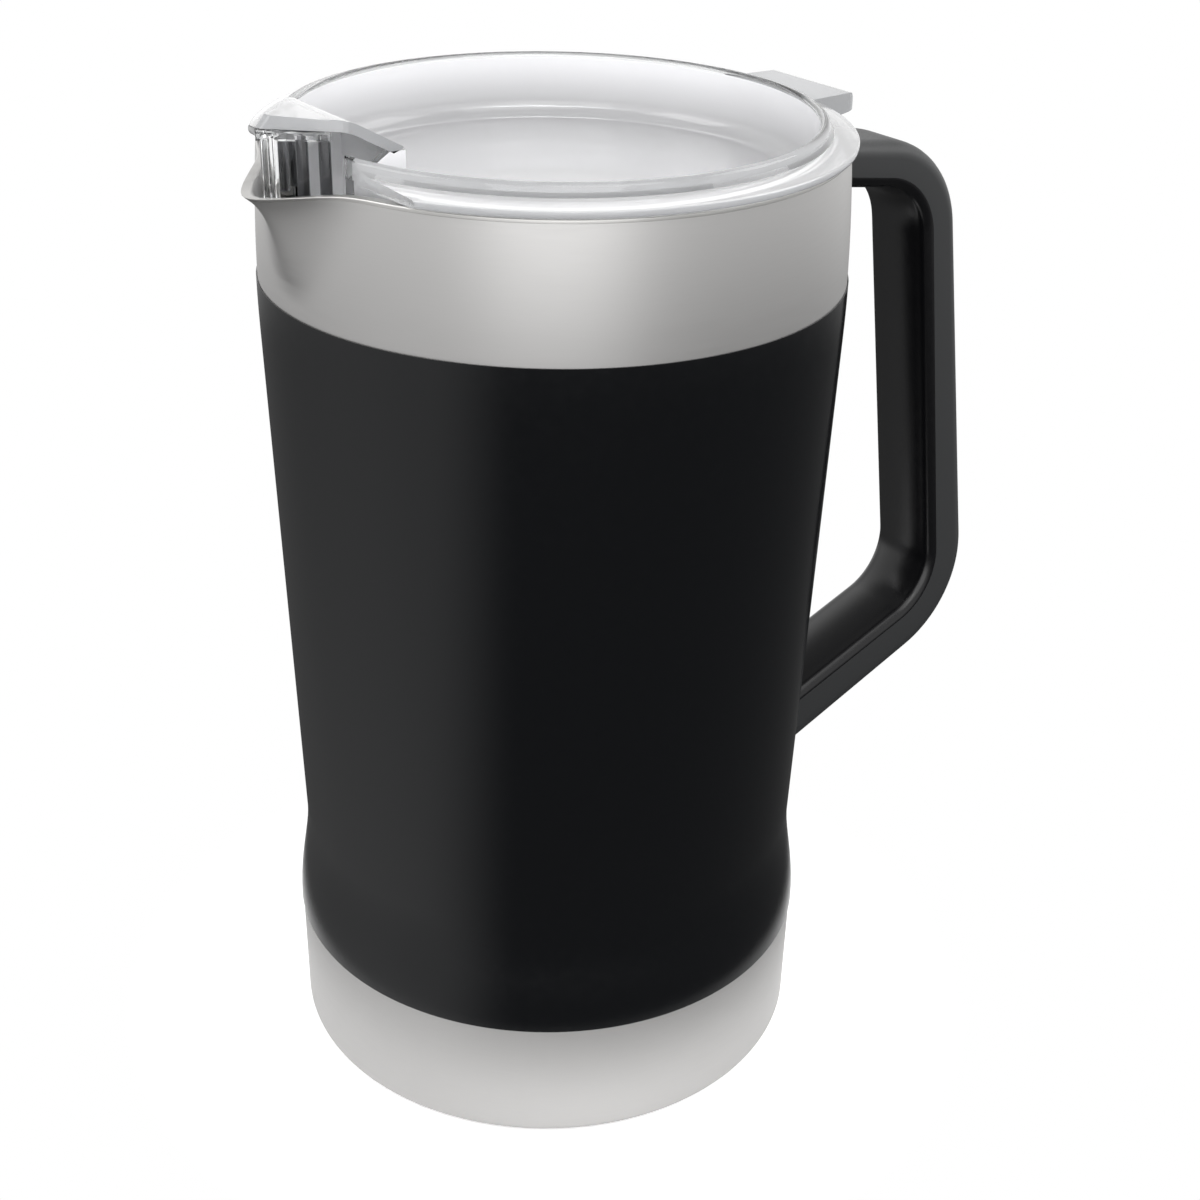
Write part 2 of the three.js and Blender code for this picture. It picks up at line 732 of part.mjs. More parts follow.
const wallOutline = points2([
  [bayEnd, dishUnder],
  [bayEnd, roofEndLow + hoodEndDepth / 2],
  [roofEndX - bayWall / 2, roofEndLow + hoodEndDepth / 2],
  [hoodBendX, flangeLow - wallDip],
  [hoodBendX, dishUnder + plugCorner],
  [hoodBendX + plugCorner, dishUnder],
]);
const baySides = [-1, 1].map((side) => {
  return solid(crosswise(wallOutline, bayWall, side * (bayHalfWidth + bayWall / 2)));
});
const bayBack = solid(
  block([bayEnd - bayWall, -baySide, dishUnder], [bayEnd, baySide, hoodEndTop - hoodEndDepth / 2]),
);

// Thumb tab over the handle: a wedge whose tip leans out
const tabInner = plugRadius + lidWall / 2;
const tabStart = flangeRadius + tabRoot;
const tabOuter = flangeRadius + tabReach;
const tabLow = flangeHigh - tabDrop;
const tabOutline = rounded([
  [tabInner, flangeLow, 0],
  [tabStart, flangeLow, 0],
  [tabStart, tabLow, tabEdge / 2],
  [tabOuter, tabLow + tabRise, tabEdge],
  [tabOuter - tabRake, flangeHigh, tabEdge],
  [tabInner, flangeHigh, 0],
]);
const tabPlan = rounded([
  [tabInner, -tabHalfWidth, 0],
  [tabOuter, -tabHalfWidth + tabTaper, tabCorner],
  [tabOuter, tabHalfWidth - tabTaper, tabCorner],
  [tabInner, tabHalfWidth, 0],
]);
const tabPrism = solid(upright(tabPlan, flangeLow - tabDrop, flangeHigh + lidWall));
const tab = solid(crosswise(tabOutline, tabHalfWidth * 2)).intersect(tabPrism);
const lid = join(cut(lidTurned, solid(bayOpening)), roof, ...baySides, bayBack, tab);
place('lid_body', geometryOf(lid), clear);

// Gasket: a two-lipped strip in the plug's groove, open at the pour bay
const gasketInner = grooveRadius + seatGap;
const gasketOuter = linerRadius(rimHeight) - sheet - gasketFree;
const gasketWeb = plugRadius + gasketGroove;
const gasketThird = gasketHeight / 3;
const gasketProfile = [
  [gasketInner, gasketBottom],
  [gasketWeb, gasketBottom],
  [gasketOuter, gasketBottom + gasketThird / 2],
  [gasketWeb, gasketBottom + gasketThird],
  [gasketWeb, gasketTop - gasketThird],
  [gasketOuter, gasketTop - gasketThird / 2],
  [gasketWeb, gasketTop],
  [gasketInner, gasketTop],
];
const gasketOpening = block(
  [hoodTip, -baySide - seatGap, dishUnder],
  [0, baySide + seatGap, flangeLow],
);
const gasket = cut(solid(turned(gasketProfile)), solid(gasketOpening));
place('lid_gasket', geometryOf(gasket), silicone);

// Ice guard: upright ribs on a rail that follows the hood's nose
const guardTop = hoodTop - hoodRoof - seatGap;
const guardLow = rimHeight - guardDrop;
const guardTip = hoodTip + guardSetback;
const guardEnd = [hoodBendX - ribDepth / 2 - seatGap, bayHalfWidth - seatGap - ribWidth];
const guardLine = new THREE.Vector2(guardEnd[0] - guardTip, guardEnd[1]);
const guardAngle = Math.atan2(guardLine.y, guardLine.x);
const railHalf = ribDepth / 2;
const railSkew = railHalf / Math.sin(guardAngle);
const railOutline = points2([
  [guardTip - railSkew, 0],
  [guardEnd[0] - railHalf * Math.sin(guardAngle), guardEnd[1] + railHalf * Math.cos(guardAngle)],
  [guardEnd[0] + railHalf * Math.sin(guardAngle), guardEnd[1] - railHalf * Math.cos(guardAngle)],
  [guardTip + railSkew, 0],
  [guardEnd[0] + railHalf * Math.sin(guardAngle), -guardEnd[1] + railHalf * Math.cos(guardAngle)],
  [guardEnd[0] - railHalf * Math.sin(guardAngle), -guardEnd[1] - railHalf * Math.cos(guardAngle)],
]);
const rail = solid(upright(railOutline, guardTop - guardRail, guardTop));

function guardRib(x, y, turn, width) {
  const rib = block([-width / 2, -railHalf, guardLow], [width / 2, railHalf, guardTop - guardRail / 2]);
  return solid(rib.rotateZ(turn).translate(x, y, 0));
}

const ribs = [guardRib(guardTip + railSkew / 2, 0, Math.PI / 2, noseRib)];
for (let i = 0; i < ribsPerSide; i += 1) {
  const share = THREE.MathUtils.lerp(firstRib, lastRib, i / Math.max(ribsPerSide - 1, 1));
  const x = guardTip + share * guardLine.x;
  const y = share * guardLine.y;
  ribs.push(guardRib(x, y, guardAngle, ribWidth), guardRib(x, -y, -guardAngle, ribWidth));
}
place('ice_guard', geometryOf(join(rail, ...ribs)), clear);

export default jug;
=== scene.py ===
"""Looks for the thermal jug.

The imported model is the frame. The pieces that show are modelled again here with finer
edges and ride on the same bodies, and the pieces inside keep their solids. Sizes are in mm
and become metres where a mesh is drawn.
"""

from __future__ import annotations

import logging
import math
from collections.abc import Sequence
from dataclasses import dataclass, replace
from enum import Enum

import bpy
from mathutils import Matrix, Vector


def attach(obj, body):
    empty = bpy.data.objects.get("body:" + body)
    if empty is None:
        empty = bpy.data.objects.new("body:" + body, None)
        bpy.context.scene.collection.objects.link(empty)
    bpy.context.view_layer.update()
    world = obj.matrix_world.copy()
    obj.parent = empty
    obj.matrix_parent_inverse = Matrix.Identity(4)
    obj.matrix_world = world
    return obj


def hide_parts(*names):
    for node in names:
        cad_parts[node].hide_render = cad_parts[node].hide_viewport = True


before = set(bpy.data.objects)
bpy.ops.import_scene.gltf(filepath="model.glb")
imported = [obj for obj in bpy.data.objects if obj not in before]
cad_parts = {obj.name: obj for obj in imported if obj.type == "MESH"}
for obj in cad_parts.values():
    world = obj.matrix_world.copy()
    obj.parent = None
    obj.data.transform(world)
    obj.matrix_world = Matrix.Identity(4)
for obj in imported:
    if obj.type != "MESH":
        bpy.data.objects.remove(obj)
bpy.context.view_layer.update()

LOG = logging.getLogger("thermal_jug")
MM = 0.001
SMOOTH_DEG = 35.0

Flat = tuple[float, float]
Corner = tuple[float, float, float]
Piece = bpy.types.Object
Material = bpy.types.Material
Tree = bpy.types.NodeTree
Node = bpy.types.Node


class Group(Enum):
    """The bodies that the pieces ride on."""

    JUG = "jug"
    LID = "lid"


class Cut(Enum):
    """What a tool does to a piece."""

    REMOVE = "DIFFERENCE"
    FUSE = "UNION"
    KEEP_COMMON = "INTERSECT"


# Modelling helpers


def clear_selection() -> None:
    """Deselect everything, so that an operator acts on the new piece alone."""
    bpy.ops.object.select_all(action="DESELECT")


def activate(piece: Piece) -> None:
    """Make a piece the only selected and the active one.

    Args:
        piece: The piece that operators act on next.
    """
    clear_selection()
    piece.select_set(True)
    bpy.context.view_layer.objects.active = piece


def extrude(step: Vector) -> None:
    """Extrude what is selected by a step in metres."""
    bpy.ops.mesh.extrude_region_move(TRANSFORM_OT_translate={"value": step})


def draw(name: str, points: Sequence[Vector]) -> Piece:
    """Draw a chain of edges by extruding one vertex from point to point.

    Args:
        name: The new object's name.
        points: The chain's points in mm.

    Returns:
        The new object, left in edit mode with the whole chain selected.
    """
    clear_selection()
    bpy.ops.mesh.primitive_plane_add(size=MM)
    piece = bpy.context.object
    piece.name = name
    piece.data.name = name
    bpy.ops.object.mode_set(mode="EDIT")
    bpy.ops.mesh.select_all(action="SELECT")
    bpy.ops.mesh.merge(type="CENTER")
    spots = [point * MM for point in points]
    bpy.ops.transform.translate(value=spots[0])
    for here, there in zip(spots, spots[1:]):
        extrude(there - here)
    bpy.ops.mesh.select_all(action="SELECT")
    return piece


def fill(name: str, outline: Sequence[Vector]) -> Piece:
    """Draw an outline and fill it.

    Args:
        name: The new object's name.
        outline: The outline's points in mm.

    Returns:
        The new object, left in edit mode with its face selected.
    """
    piece = draw(name, outline)
    bpy.ops.mesh.edge_face_add()
    return piece


def smooth(piece: Piece, angle_deg: float = SMOOTH_DEG) -> None:
    """Shade a piece smooth across edges flatter than an angle."""
    activate(piece)
    bpy.ops.object.shade_smooth_by_angle(angle=math.radians(angle_deg))


def close_mesh(piece: Piece, smooth_deg: float = SMOOTH_DEG) -> Piece:
    """Merge doubles, turn the faces outwards, leave edit mode and smooth the shading.

    Args:
        piece: The object in edit mode.
        smooth_deg: Edges flatter than this angle are shaded smooth.

    Returns:
        The same object.
    """
    bpy.ops.mesh.select_all(action="SELECT")
    bpy.ops.mesh.remove_doubles(threshold=1e-6)
    bpy.ops.mesh.normals_make_consistent(inside=False)
    bpy.ops.object.mode_set(mode="OBJECT")
    smooth(piece, smooth_deg)
    return piece


def turned(name: str, profile: Sequence[Flat], steps: int) -> Piece:
    """Spin a profile about the jug's axis.

    Args:
        name: The new object's name.
        profile: Radius and height of each point in mm. It ends where it starts, or on the axis.
        steps: Steps in the turn.

    Returns:
        The closed piece.
    """
    piece = draw(name, [Vector((r, 0, z)) for r, z in profile])
    bpy.ops.mesh.spin(steps=steps, angle=math.tau, center=(0, 0, 0), axis=(0, 0, 1))
    return close_mesh(piece)


def prism(name: str, outline: Sequence[Vector], depth: Vector) -> Piece:
    """Fill an outline and extrude it.

    Args:
        name: The new object's name.
        outline: The outline's points in mm.
        depth: The way and length of the extrusion in mm.

    Returns:
        The closed piece.
    """
    piece = fill(name, outline)
    extrude(depth * MM)
    return close_mesh(piece)


def upright(name: str, outline: Sequence[Flat], low: float, high: float) -> Piece:
    """A plan outline in mm, extruded from one height to another."""
    return prism(name, [Vector((x, y, low)) for x, y in outline], Vector((0, 0, high - low)))


def crosswise(name: str, outline: Sequence[Flat], low: float, high: float) -> Piece:
    """A side outline of x and z in mm, extruded across the jug from one y to another."""
    return prism(name, [Vector((x, low, z)) for x, z in outline], Vector((0, high - low, 0)))


def rounded(corners: Sequence[Corner], steps: int = 8, closed: bool = True) -> list[Flat]:
    """Round the corners of an outline by arcs.

    Args:
        corners: Two coordinates and a radius for each corner, in mm.
        steps: Steps in each arc.
        closed: Whether the last corner joins the first. The ends of an open line stay sharp.

    Returns:
        The outline's points.
    """
    points: list[Flat] = []
    count = len(corners)
    for i, (x, y, radius) in enumerate(corners):
        here = Vector((x, y))
        if not radius or (not closed and i in (0, count - 1)):
            points.append((x, y))
            continue
        before = (Vector(corners[i - 1][:2]) - here).normalized()
        after = (Vector(corners[(i + 1) % count][:2]) - here).normalized()
        half = before.angle(after) / 2
        centre = here + (before + after).normalized() * (radius / math.sin(half))
        start = here + before * (radius / math.tan(half)) - centre
        end = here + after * (radius / math.tan(half)) - centre
        sweep = math.atan2(start.x * end.y - start.y * end.x, start.dot(end))
        for k in range(steps + 1):
            spoke = Matrix.Rotation(sweep * k / steps, 2) @ start
            points.append(tuple(centre + spoke))
    return points


def arc(r: float, z: float, radius: float, start: float, end: float, steps: int) -> list[Flat]:
    """Points of an arc about a centre, with its angles in degrees."""
    angles = [math.radians(start + (end - start) * k / steps) for k in range(steps + 1)]
    return [(r + radius * math.cos(a), z + radius * math.sin(a)) for a in angles]


def levels(low: float, high: float, count: int) -> list[float]:
    """Evenly spaced heights, both ends included."""
    return [low + (high - low) * k / (count - 1) for k in range(count)]


def apply_modifier(piece: Piece, kind: str, **settings: object) -> None:
    """Add a modifier, set it up and apply it.

    Args:
        piece: The piece.
        kind: The modifier's type.
        **settings: The modifier's own properties.
    """
    activate(piece)
    modifier = piece.modifiers.new(kind.title(), kind)
    for key, value in settings.items():
        setattr(modifier, key, value)
    bpy.ops.object.modifier_apply(modifier=modifier.name)


def use_tool(piece: Piece, tool: Piece, cut: Cut) -> None:
    """Cut or join a piece with a tool, and delete the tool.

    Args:
        piece: The piece.
        tool: The other piece, which is used up.
        cut: What the tool does.
    """
    apply_modifier(piece, "BOOLEAN", object=tool, operation=cut.value, solver="EXACT")
    activate(tool)
    bpy.ops.object.delete()


# Finishes


def linear(hex_colour: str) -> tuple[float, float, float, float]:
    """Turn an sRGB hex value into a linear colour.

    Args:
        hex_colour: A hash sign and six digits.

    Returns:
        Red, green and blue, and a full alpha.
    """
    channels = [int(hex_colour[i : i + 2], 16) / 255 for i in (1, 3, 5)]
    bright = [c / 12.92 if c <= 0.04045 else ((c + 0.055) / 1.055) ** 2.4 for c in channels]
    return (*bright, 1.0)


def empty_tree(owner: Material | bpy.types.World) -> Tree:
    """Turn on the nodes of a material or a world, and clear them.

    Args:
        owner: The material or the world.

    Returns:
        Its empty node tree.
    """
    owner.use_nodes = True
    owner.node_tree.nodes.clear()
    return owner.node_tree


def add_node(
    tree: Tree, kind: str, inputs: dict[str | int, object] | None = None, **settings: object
) -> Node:
    """Add a shader node, set it up and link it.

    Args:
        tree: The node tree.
        kind: The node's type, without its prefix.
        inputs: For each input by name or number, a value, an output socket to link, or a node
            whose first output in use is linked.
        **settings: The node's own properties.

    Returns:
        The new node.
    """
    node = tree.nodes.new("ShaderNode" + kind)
    for key, value in settings.items():
        setattr(node, key, value)
    for key, value in (inputs or {}).items():
        socket = node.inputs[key]
        if isinstance(value, Node):
            value = next(output for output in value.outputs if output.enabled)
        if isinstance(value, bpy.types.NodeSocket):
            tree.links.new(value, socket)
        else:
            socket.default_value = value
    return node


def span(low: float, high: float, start: float, end: float) -> dict[str, float]:
    """The inputs of a range from low to high that becomes one from start to end."""
    return {"From Min": low, "From Max": high, "To Min": start, "To Max": end}


@dataclass(frozen=True)
class Grain:
    """How rough a surface is, how much that varies, and its grain's size and depth in mm."""

    roughness: float
    spread: float
    size: float
    depth: float
    stretch: tuple[float, float, float] = (1, 1, 1)


@dataclass(frozen=True)
class Finish:
    """A finish with one colour, and a grain in its roughness and relief."""

    name: str
    colour: str
    grain: Grain
    metallic: float = 0.0
    ior: float = 1.5
    transmission: float = 0.0

    def clarity(self, tree: Tree) -> Node | float:
        """How much light goes straight through."""
        return self.transmission

    def noise(self, tree: Tree) -> Node:
        """The grain's noise, on object coordinates, at its real size.

        Args:
            tree: The material's node tree.

        Returns:
            The noise node.
        """
        spot = add_node(tree, "TexCoord").outputs["Object"]
        per_metre = tuple(share / (self.grain.size * MM) for share in self.grain.stretch)
        mapped = add_node(tree, "Mapping", {"Vector": spot, "Scale": per_metre})
        return add_node(tree, "TexNoise", {"Vector": mapped, "Scale": 1.0, "Detail": 3.0, "Roughness": 0.6})

    def make(self) -> Material:
        """Build the material's nodes.

        Returns:
            The new material.
        """
        material = bpy.data.materials.new(self.name)
        tree = empty_tree(material)
        noise, grain = self.noise(tree), self.grain
        # Most of the noise lies between 0.3 and 0.7.
        limits = span(0.3, 0.7, grain.roughness - grain.spread, grain.roughness + grain.spread)
        relief = {"Height": noise, "Strength": 1.0, "Distance": grain.depth * MM}
        shader = add_node(
            tree,
            "BsdfPrincipled",
            {
                "Base Color": linear(self.colour),
                "Roughness": add_node(tree, "MapRange", {"Value": noise, **limits}),
                "Metallic": self.metallic,
                "IOR": self.ior,
                "Transmission Weight": self.clarity(tree),
                "Normal": add_node(tree, "Bump", relief),
            },
        )
        add_node(tree, "OutputMaterial", {"Surface": shader})
        return material


@dataclass(frozen=True)
class HazyFinish(Finish):
    """A clear finish that turns milky with height, from the floor of a dish to its rim."""

    floor_mm: float = 221.7
    rim_mm: float = 236.0
    rim_transmission: float = 0.0

    def clarity(self, tree: Tree) -> Node | float:
        """How much light goes straight through at each height.

        Args:
            tree: The material's node tree.

        Returns:
            The node that gives it.
        """
        spot = add_node(tree, "TexCoord").outputs["Object"]
        height = add_node(tree, "SeparateXYZ", {"Vector": spot}).outputs["Z"]
        limits = span(self.floor_mm * MM, self.rim_mm * MM, self.transmission, self.rim_transmission)
        return add_node(tree, "MapRange", {"Value": height, **limits})


class Look(Enum):
    """The finishes, each from what the real material is and how its surface was made, save the lid's milky
    and grey zones and the guard's dark ribs, which are painted highlight and painted shade.
    """

    # Stainless steel with a satin brush round the jug: a broad soft light, and no lines from a step away.
    SATIN_STEEL = Finish(
        "satin_brushed_stainless_steel",
        "#C1C0BF",
        Grain(0.45, 0.03, 0.3, 0.0006, stretch=(0.03, 0.03, 1)),
        metallic=1.0,
    )
    # Stainless steel inside the jug, drawn and passivated: a little shinier than the satin outside.
    INNER_STEEL = Finish(
        "drawn_stainless_steel",
        "#C6C5C3",
        Grain(0.38, 0.05, 0.4, 0.002, stretch=(0.05, 0.05, 1)),
        metallic=1.0,
    )
    # Baked gloss coat on steel: deep black, with the faint orange peel of a sprayed finish.
    GLOSS_COAT = Finish("gloss_black_powder_coat", "#0A0B0D", Grain(0.14, 0.02, 2.5, 0.003))
    # Polypropylene, moulded in a spark-eroded tool: matte black with a fine even grain.
    GRAINED_PLASTIC = Finish(
        "grained_black_polypropylene", "#272829", Grain(0.5, 0.06, 0.4, 0.015), ior=1.49
    )
    # The same plastic over the fingers, moulded in a polished tool: deeper black with a soft shine.
    POLISHED_PLASTIC = Finish(
        "polished_black_polypropylene", "#08080A", Grain(0.24, 0.03, 1.5, 0.003), ior=1.49
    )
    # Clear copolyester of the lid's bay and the ice guard, from a polished tool: clear, with dark edges.
    CLEAR_PLASTIC = Finish("clear_copolyester", "#FBFCFC", Grain(0.03, 0.01, 6.0, 0.002), transmission=1.0)
    # The same plastic in the lid's dish, from a finely blasted tool: milky up its wall, clearer on its floor.
    HAZY_PLASTIC = HazyFinish(
        "hazy_clear_copolyester",
        "#F6F6F8",
        Grain(0.06, 0.02, 6.0, 0.002),
        transmission=0.58,
        rim_transmission=0.02,
    )
    # The same plastic on top of the rim and the hood, a little milky and lighter: painted highlight where
    # these faces catch the light.
    MILKY_PLASTIC = Finish(
        "highlight_milky_copolyester", "#F0F0F1", Grain(0.06, 0.02, 6.0, 0.002), transmission=0.6
    )
    # The same plastic along the edges and in the tab, painted an even grey: painted shade for the darker look
    # of the sides and edges of clear plastic.
    EDGE_PLASTIC = Finish("edge_shade_copolyester", "#B4B5B7", Grain(0.08, 0.02, 6.0, 0.002), transmission=0.3)
    # The same plastic in the ice guard's side ribs, tinted dark grey: painted shade that stands in for the
    # shadowed bay seen between them.
    SMOKE_PLASTIC = Finish("shade_painted_copolyester", "#66676A", Grain(0.05, 0.01, 6.0, 0.002), transmission=0.9)
    # Silicone rubber: milky and soft, with a dull sheen.
    SILICONE = Finish(
        "milky_silicone_rubber", "#E4E4E1", Grain(0.4, 0.05, 0.8, 0.01), ior=1.41, transmission=0.85
    )
    # Rubber pad, moulded: matte black with a coarse grain.
    PAD_RUBBER = Finish("moulded_black_rubber", "#1A1A1A", Grain(0.75, 0.05, 0.6, 0.03), ior=1.52)
    # Zinc-plated steel screws: bright, with a fine drawn grain.
    ZINC_STEEL = Finish("zinc_plated_steel", "#B4B5B5", Grain(0.3, 0.08, 0.3, 0.004), metallic=1.0)
    # Sintered getter: dark and porous.
    SINTERED_METAL = Finish("sintered_getter_metal", "#6B6A67", Grain(0.7, 0.1, 0.25, 0.03), metallic=1.0)
    # Low-melting seal: dull grey with a skin.
    SEAL_METAL = Finish("dull_seal_metal", "#8C8D89", Grain(0.45, 0.08, 0.6, 0.02), metallic=0.8)


Looks = dict[Look, Material]


def dress(piece: Piece, material: Material) -> None:
    """Give a piece one material all over."""
    piece.data.materials.clear()
    piece.data.materials.append(material)


def place(piece: Piece, body: Group, node: str, material: Material) -> None:
    """Dress a piece, ride it on a body and let it stand for its node.

    Args:
        piece: The finished piece.
        body: The body that it moves with.
        node: The node that it stands for.
        material: Its material.
    """
    dress(piece, material)
    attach(piece, body.value)
    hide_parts(node)
    LOG.info("%s: %d faces", piece.name, len(piece.data.polygons))


@dataclass
class Body:
    """The steel jug: shell, coat and liner, with the spout pressed into both walls."""

    rim_height: float = 231.4
    rim_radius: float = 65.15
    shoulder_drop: float = 41.7
    shoulder_radius: float = 66.4
    waist_height: float = 59.7
    waist_radius: float = 62.25
    foot_height: float = 32.7
    foot_radius: float = 65.0
    foot_draft: float = 0.3
    corner_radius: float = 2.2
    standoff: float = 0.5
    sheet: float = 0.8
    top_band: float = 29.7
    row_gap: float = 1.0
    coat_gap: float = 0.1
    coat_thickness: float = 0.2
    bottom_opening: float = 54.1
    lip_height: float = 0.9
    lip_seam: float = 0.02
    vacuum_gap: float = 4.2
    neck_gap: float = 0.8
    neck_foot: float = 197.7
    neck_height: float = 215.7
    liner_end: float = 14.0
    spout_reach: float = 10.85
    spout_depth: float = 23.2
    spout_half_deg: float = 19.6
    spout_foot_width: float = 0.45
    spout_flare: float = 0.4
    flare_power: int = 5
    spout_dip: float = 2.9
    dip_power: int = 2
    spout_nose: float = 0.2
    spout_blend: float = 0.39
    spout_pinch: float = 1.64
    waist_rows: int = 14
    taper_rows: int = 8
    crown_rows: int = 6
    spout_rows: int = 22
    neck_rows: int = 8
    steps: int = 288

    @property
    def shoulder_height(self) -> float:
        """The top of the straight taper."""
        return self.rim_height - self.shoulder_drop

    @property
    def spout_foot(self) -> float:
        """The height at which the spout starts."""
        return self.rim_height - self.spout_depth

    @property
    def lip_low(self) -> float:
        """The underside of the liner's lip."""
        return self.rim_height - self.lip_height

    @property
    def shell_top(self) -> float:
        """The shell's top edge, under the liner's lip."""
        return self.lip_low - self.lip_seam

    @property
    def skin(self) -> float:
        """How far the coat's outside stands off the shell."""
        return self.coat_gap + self.coat_thickness

    @property
    def taper(self) -> float:
        """The taper's slope."""
        return (self.shoulder_radius - self.waist_radius) / (self.shoulder_height - self.waist_height)

    def shell_radius(self, z: float) -> float:
        """The shell's outer radius at a height.

        Args:
            z: The height in mm.

        Returns:
            The radius in mm.
        """
        if z >= self.shoulder_height:
            rise = z - self.shoulder_height
            end = self.shoulder_radius + self.taper * self.shoulder_drop - self.rim_radius
            return self.shoulder_radius + self.taper * rise - end * (rise / self.shoulder_drop) ** 2
        if z >= self.waist_height:
            return self.waist_radius + self.taper * (z - self.waist_height)
        if z >= self.foot_height:
            share = (z - self.foot_height) / (self.waist_height - self.foot_height)
            swell = (self.foot_radius - self.waist_radius) * (1 + math.cos(math.pi * share)) / 2
            return self.waist_radius + swell
        return self.foot_radius - self.foot_draft * (self.foot_height - z) / self.foot_height

    def liner_radius(self, z: float) -> float:
        """The liner's outer radius at a height.

        Args:
            z: The height in mm.

        Returns:
            The radius in mm.
        """
        share = min(max((z - self.neck_foot) / (self.neck_height - self.neck_foot), 0), 1)
        eased = share * share * (3 - 2 * share)
        gap = self.vacuum_gap + (self.neck_gap - self.vacuum_gap) * eased
        return self.shell_radius(max(z, self.waist_height)) - self.sheet - gap

    def spout_push(self, angle: float, z: float) -> tuple[float, float]:
        """How far the spout pushes a wall out and down.

        Args:
            angle: The angle from the spout's middle, in radians.
            z: The height in mm.

        Returns:
            Shares of the spout's full reach and of its full dip.
        """
        rise = min(max((z - self.spout_foot) / self.spout_depth, 0), 1)
        width = self.spout_foot_width + (1 - self.spout_foot_width) * rise
        half = math.radians(self.spout_half_deg) * width
        nose = math.hypot(angle / half, self.spout_nose) - self.spout_nose
        side = 1 - nose / (math.hypot(1, self.spout_nose) - self.spout_nose)
        share = max(side, 0)
        if abs(side) < self.spout_blend:
            share = (side + self.spout_blend) ** 2 / (4 * self.spout_blend)
        share = share**self.spout_pinch
        keel = (1 - self.spout_flare) * rise + self.spout_flare * rise**self.flare_power
        return keel * share, rise**self.dip_power * share

    def press_spout(self, piece: Piece) -> None:
        """Press the spout out of a turned wall, by displacing weighted vertices along each axis.

        Args:
            piece: The turned wall.
        """
        pushes = {
            "out": ("X", -self.spout_reach),
            "left": ("Y", self.spout_reach),
            "right": ("Y", -self.spout_reach),
            "down": ("Z", -self.spout_dip),
        }
        groups = {key: piece.vertex_groups.new(name=key) for key in pushes}
        for vertex in piece.data.vertices:
            angle = math.atan2(vertex.co.y, -vertex.co.x)
            out, down = self.spout_push(angle, vertex.co.z / MM)
            aside = out * math.sin(angle)
            weights = {"out": out * math.cos(angle), "left": aside, "right": -aside, "down": down}
            for key, weight in weights.items():
                if weight > 0:
                    groups[key].add([vertex.index], weight, "REPLACE")
        for key, (axis, reach) in pushes.items():
            apply_modifier(
                piece, "DISPLACE", direction=axis, strength=reach * MM, mid_level=0.0, vertex_group=key
            )
        piece.vertex_groups.clear()
        smooth(piece)

    def spout_levels(self) -> list[float]:
        """The heights at which a wall is drawn in the spout, above its foot."""
        return levels(self.spout_foot, self.shell_top, self.spout_rows)[1:]

    def wall_levels(self) -> list[float]:
        """The heights at which the shell's wall is drawn.

        Returns:
            The heights in mm, from the top of the foot's band up.
        """
        waist = levels(self.foot_height, self.waist_height, self.waist_rows)
        straight = levels(self.waist_height, self.shoulder_height, self.taper_rows)[1:]
        crown = levels(self.shoulder_height, self.spout_foot, self.crown_rows)[1:]
        return waist + straight + crown + self.spout_levels()

    def build_shell(self) -> Piece:
        """Spin the shell and press its spout.

        Returns:
            The shell.
        """
        corner_z = self.standoff + self.corner_radius
        corner_r = self.shell_radius(corner_z) - self.corner_radius
        walls = self.wall_levels()
        profile = [(self.bottom_opening, self.standoff)]
        profile += arc(corner_r, corner_z, self.corner_radius, -90, 0, steps=10)
        profile += [(self.shell_radius(z), z) for z in walls]
        profile += [(self.shell_radius(z) - self.sheet, z) for z in reversed(walls)]
        profile += arc(corner_r, corner_z, self.corner_radius - self.sheet, 0, -90, steps=10)
        profile += [(self.bottom_opening, self.standoff + self.sheet), profile[0]]
        shell = turned("steel_shell", profile, self.steps)
        self.press_spout(shell)
        return shell

    def build_coat(self) -> Piece:
        """Spin the coat, a skin on the shell between the two bare bands.

        Returns:
            The coat.
        """
        top = self.rim_height - self.top_band
        walls = [z for z in self.wall_levels() if z < top - self.row_gap] + [top]
        profile = [(self.shell_radius(z) + self.skin, z) for z in walls]
        profile += [(self.shell_radius(z) + self.coat_gap, z) for z in reversed(walls)]
        return turned("coat_skin", profile + profile[:1], self.steps)

    def build_liner(self) -> Piece:
        """Spin the liner with its rolled lip, and press its spout.

        Returns:
            The liner.
        """
        walls = [self.liner_end, self.waist_height, self.shoulder_height]
        walls += levels(self.neck_foot, self.spout_foot, self.neck_rows)
        walls += self.spout_levels() + [self.lip_low]
        inner = self.liner_radius(self.rim_height) - self.sheet
        edge = self.lip_height / 2
        profile = [(self.liner_radius(z), z) for z in walls]
        profile += [(self.rim_radius, self.lip_low)]
        profile += arc(self.rim_radius - edge, self.lip_low + edge, edge, 0, 90, steps=6)
        profile += arc(inner + edge, self.rim_height - edge, edge, 90, 180, steps=5)
        profile += [(self.liner_radius(z) - self.sheet, z) for z in reversed(walls)]
        liner = turned("steel_liner", profile + profile[:1], self.steps)
        self.press_spout(liner)
        return liner


@dataclass(frozen=True)
class Station:
    """A place along the handle's bow: a section's foot, the way on in radians, and its height."""

    foot: Vector
    way: float
    height: float

    @property
    def out(self) -> Vector:
        """The way out of the bow, square to the way on."""
        return Vector((-math.sin(self.way), 0, math.cos(self.way)))


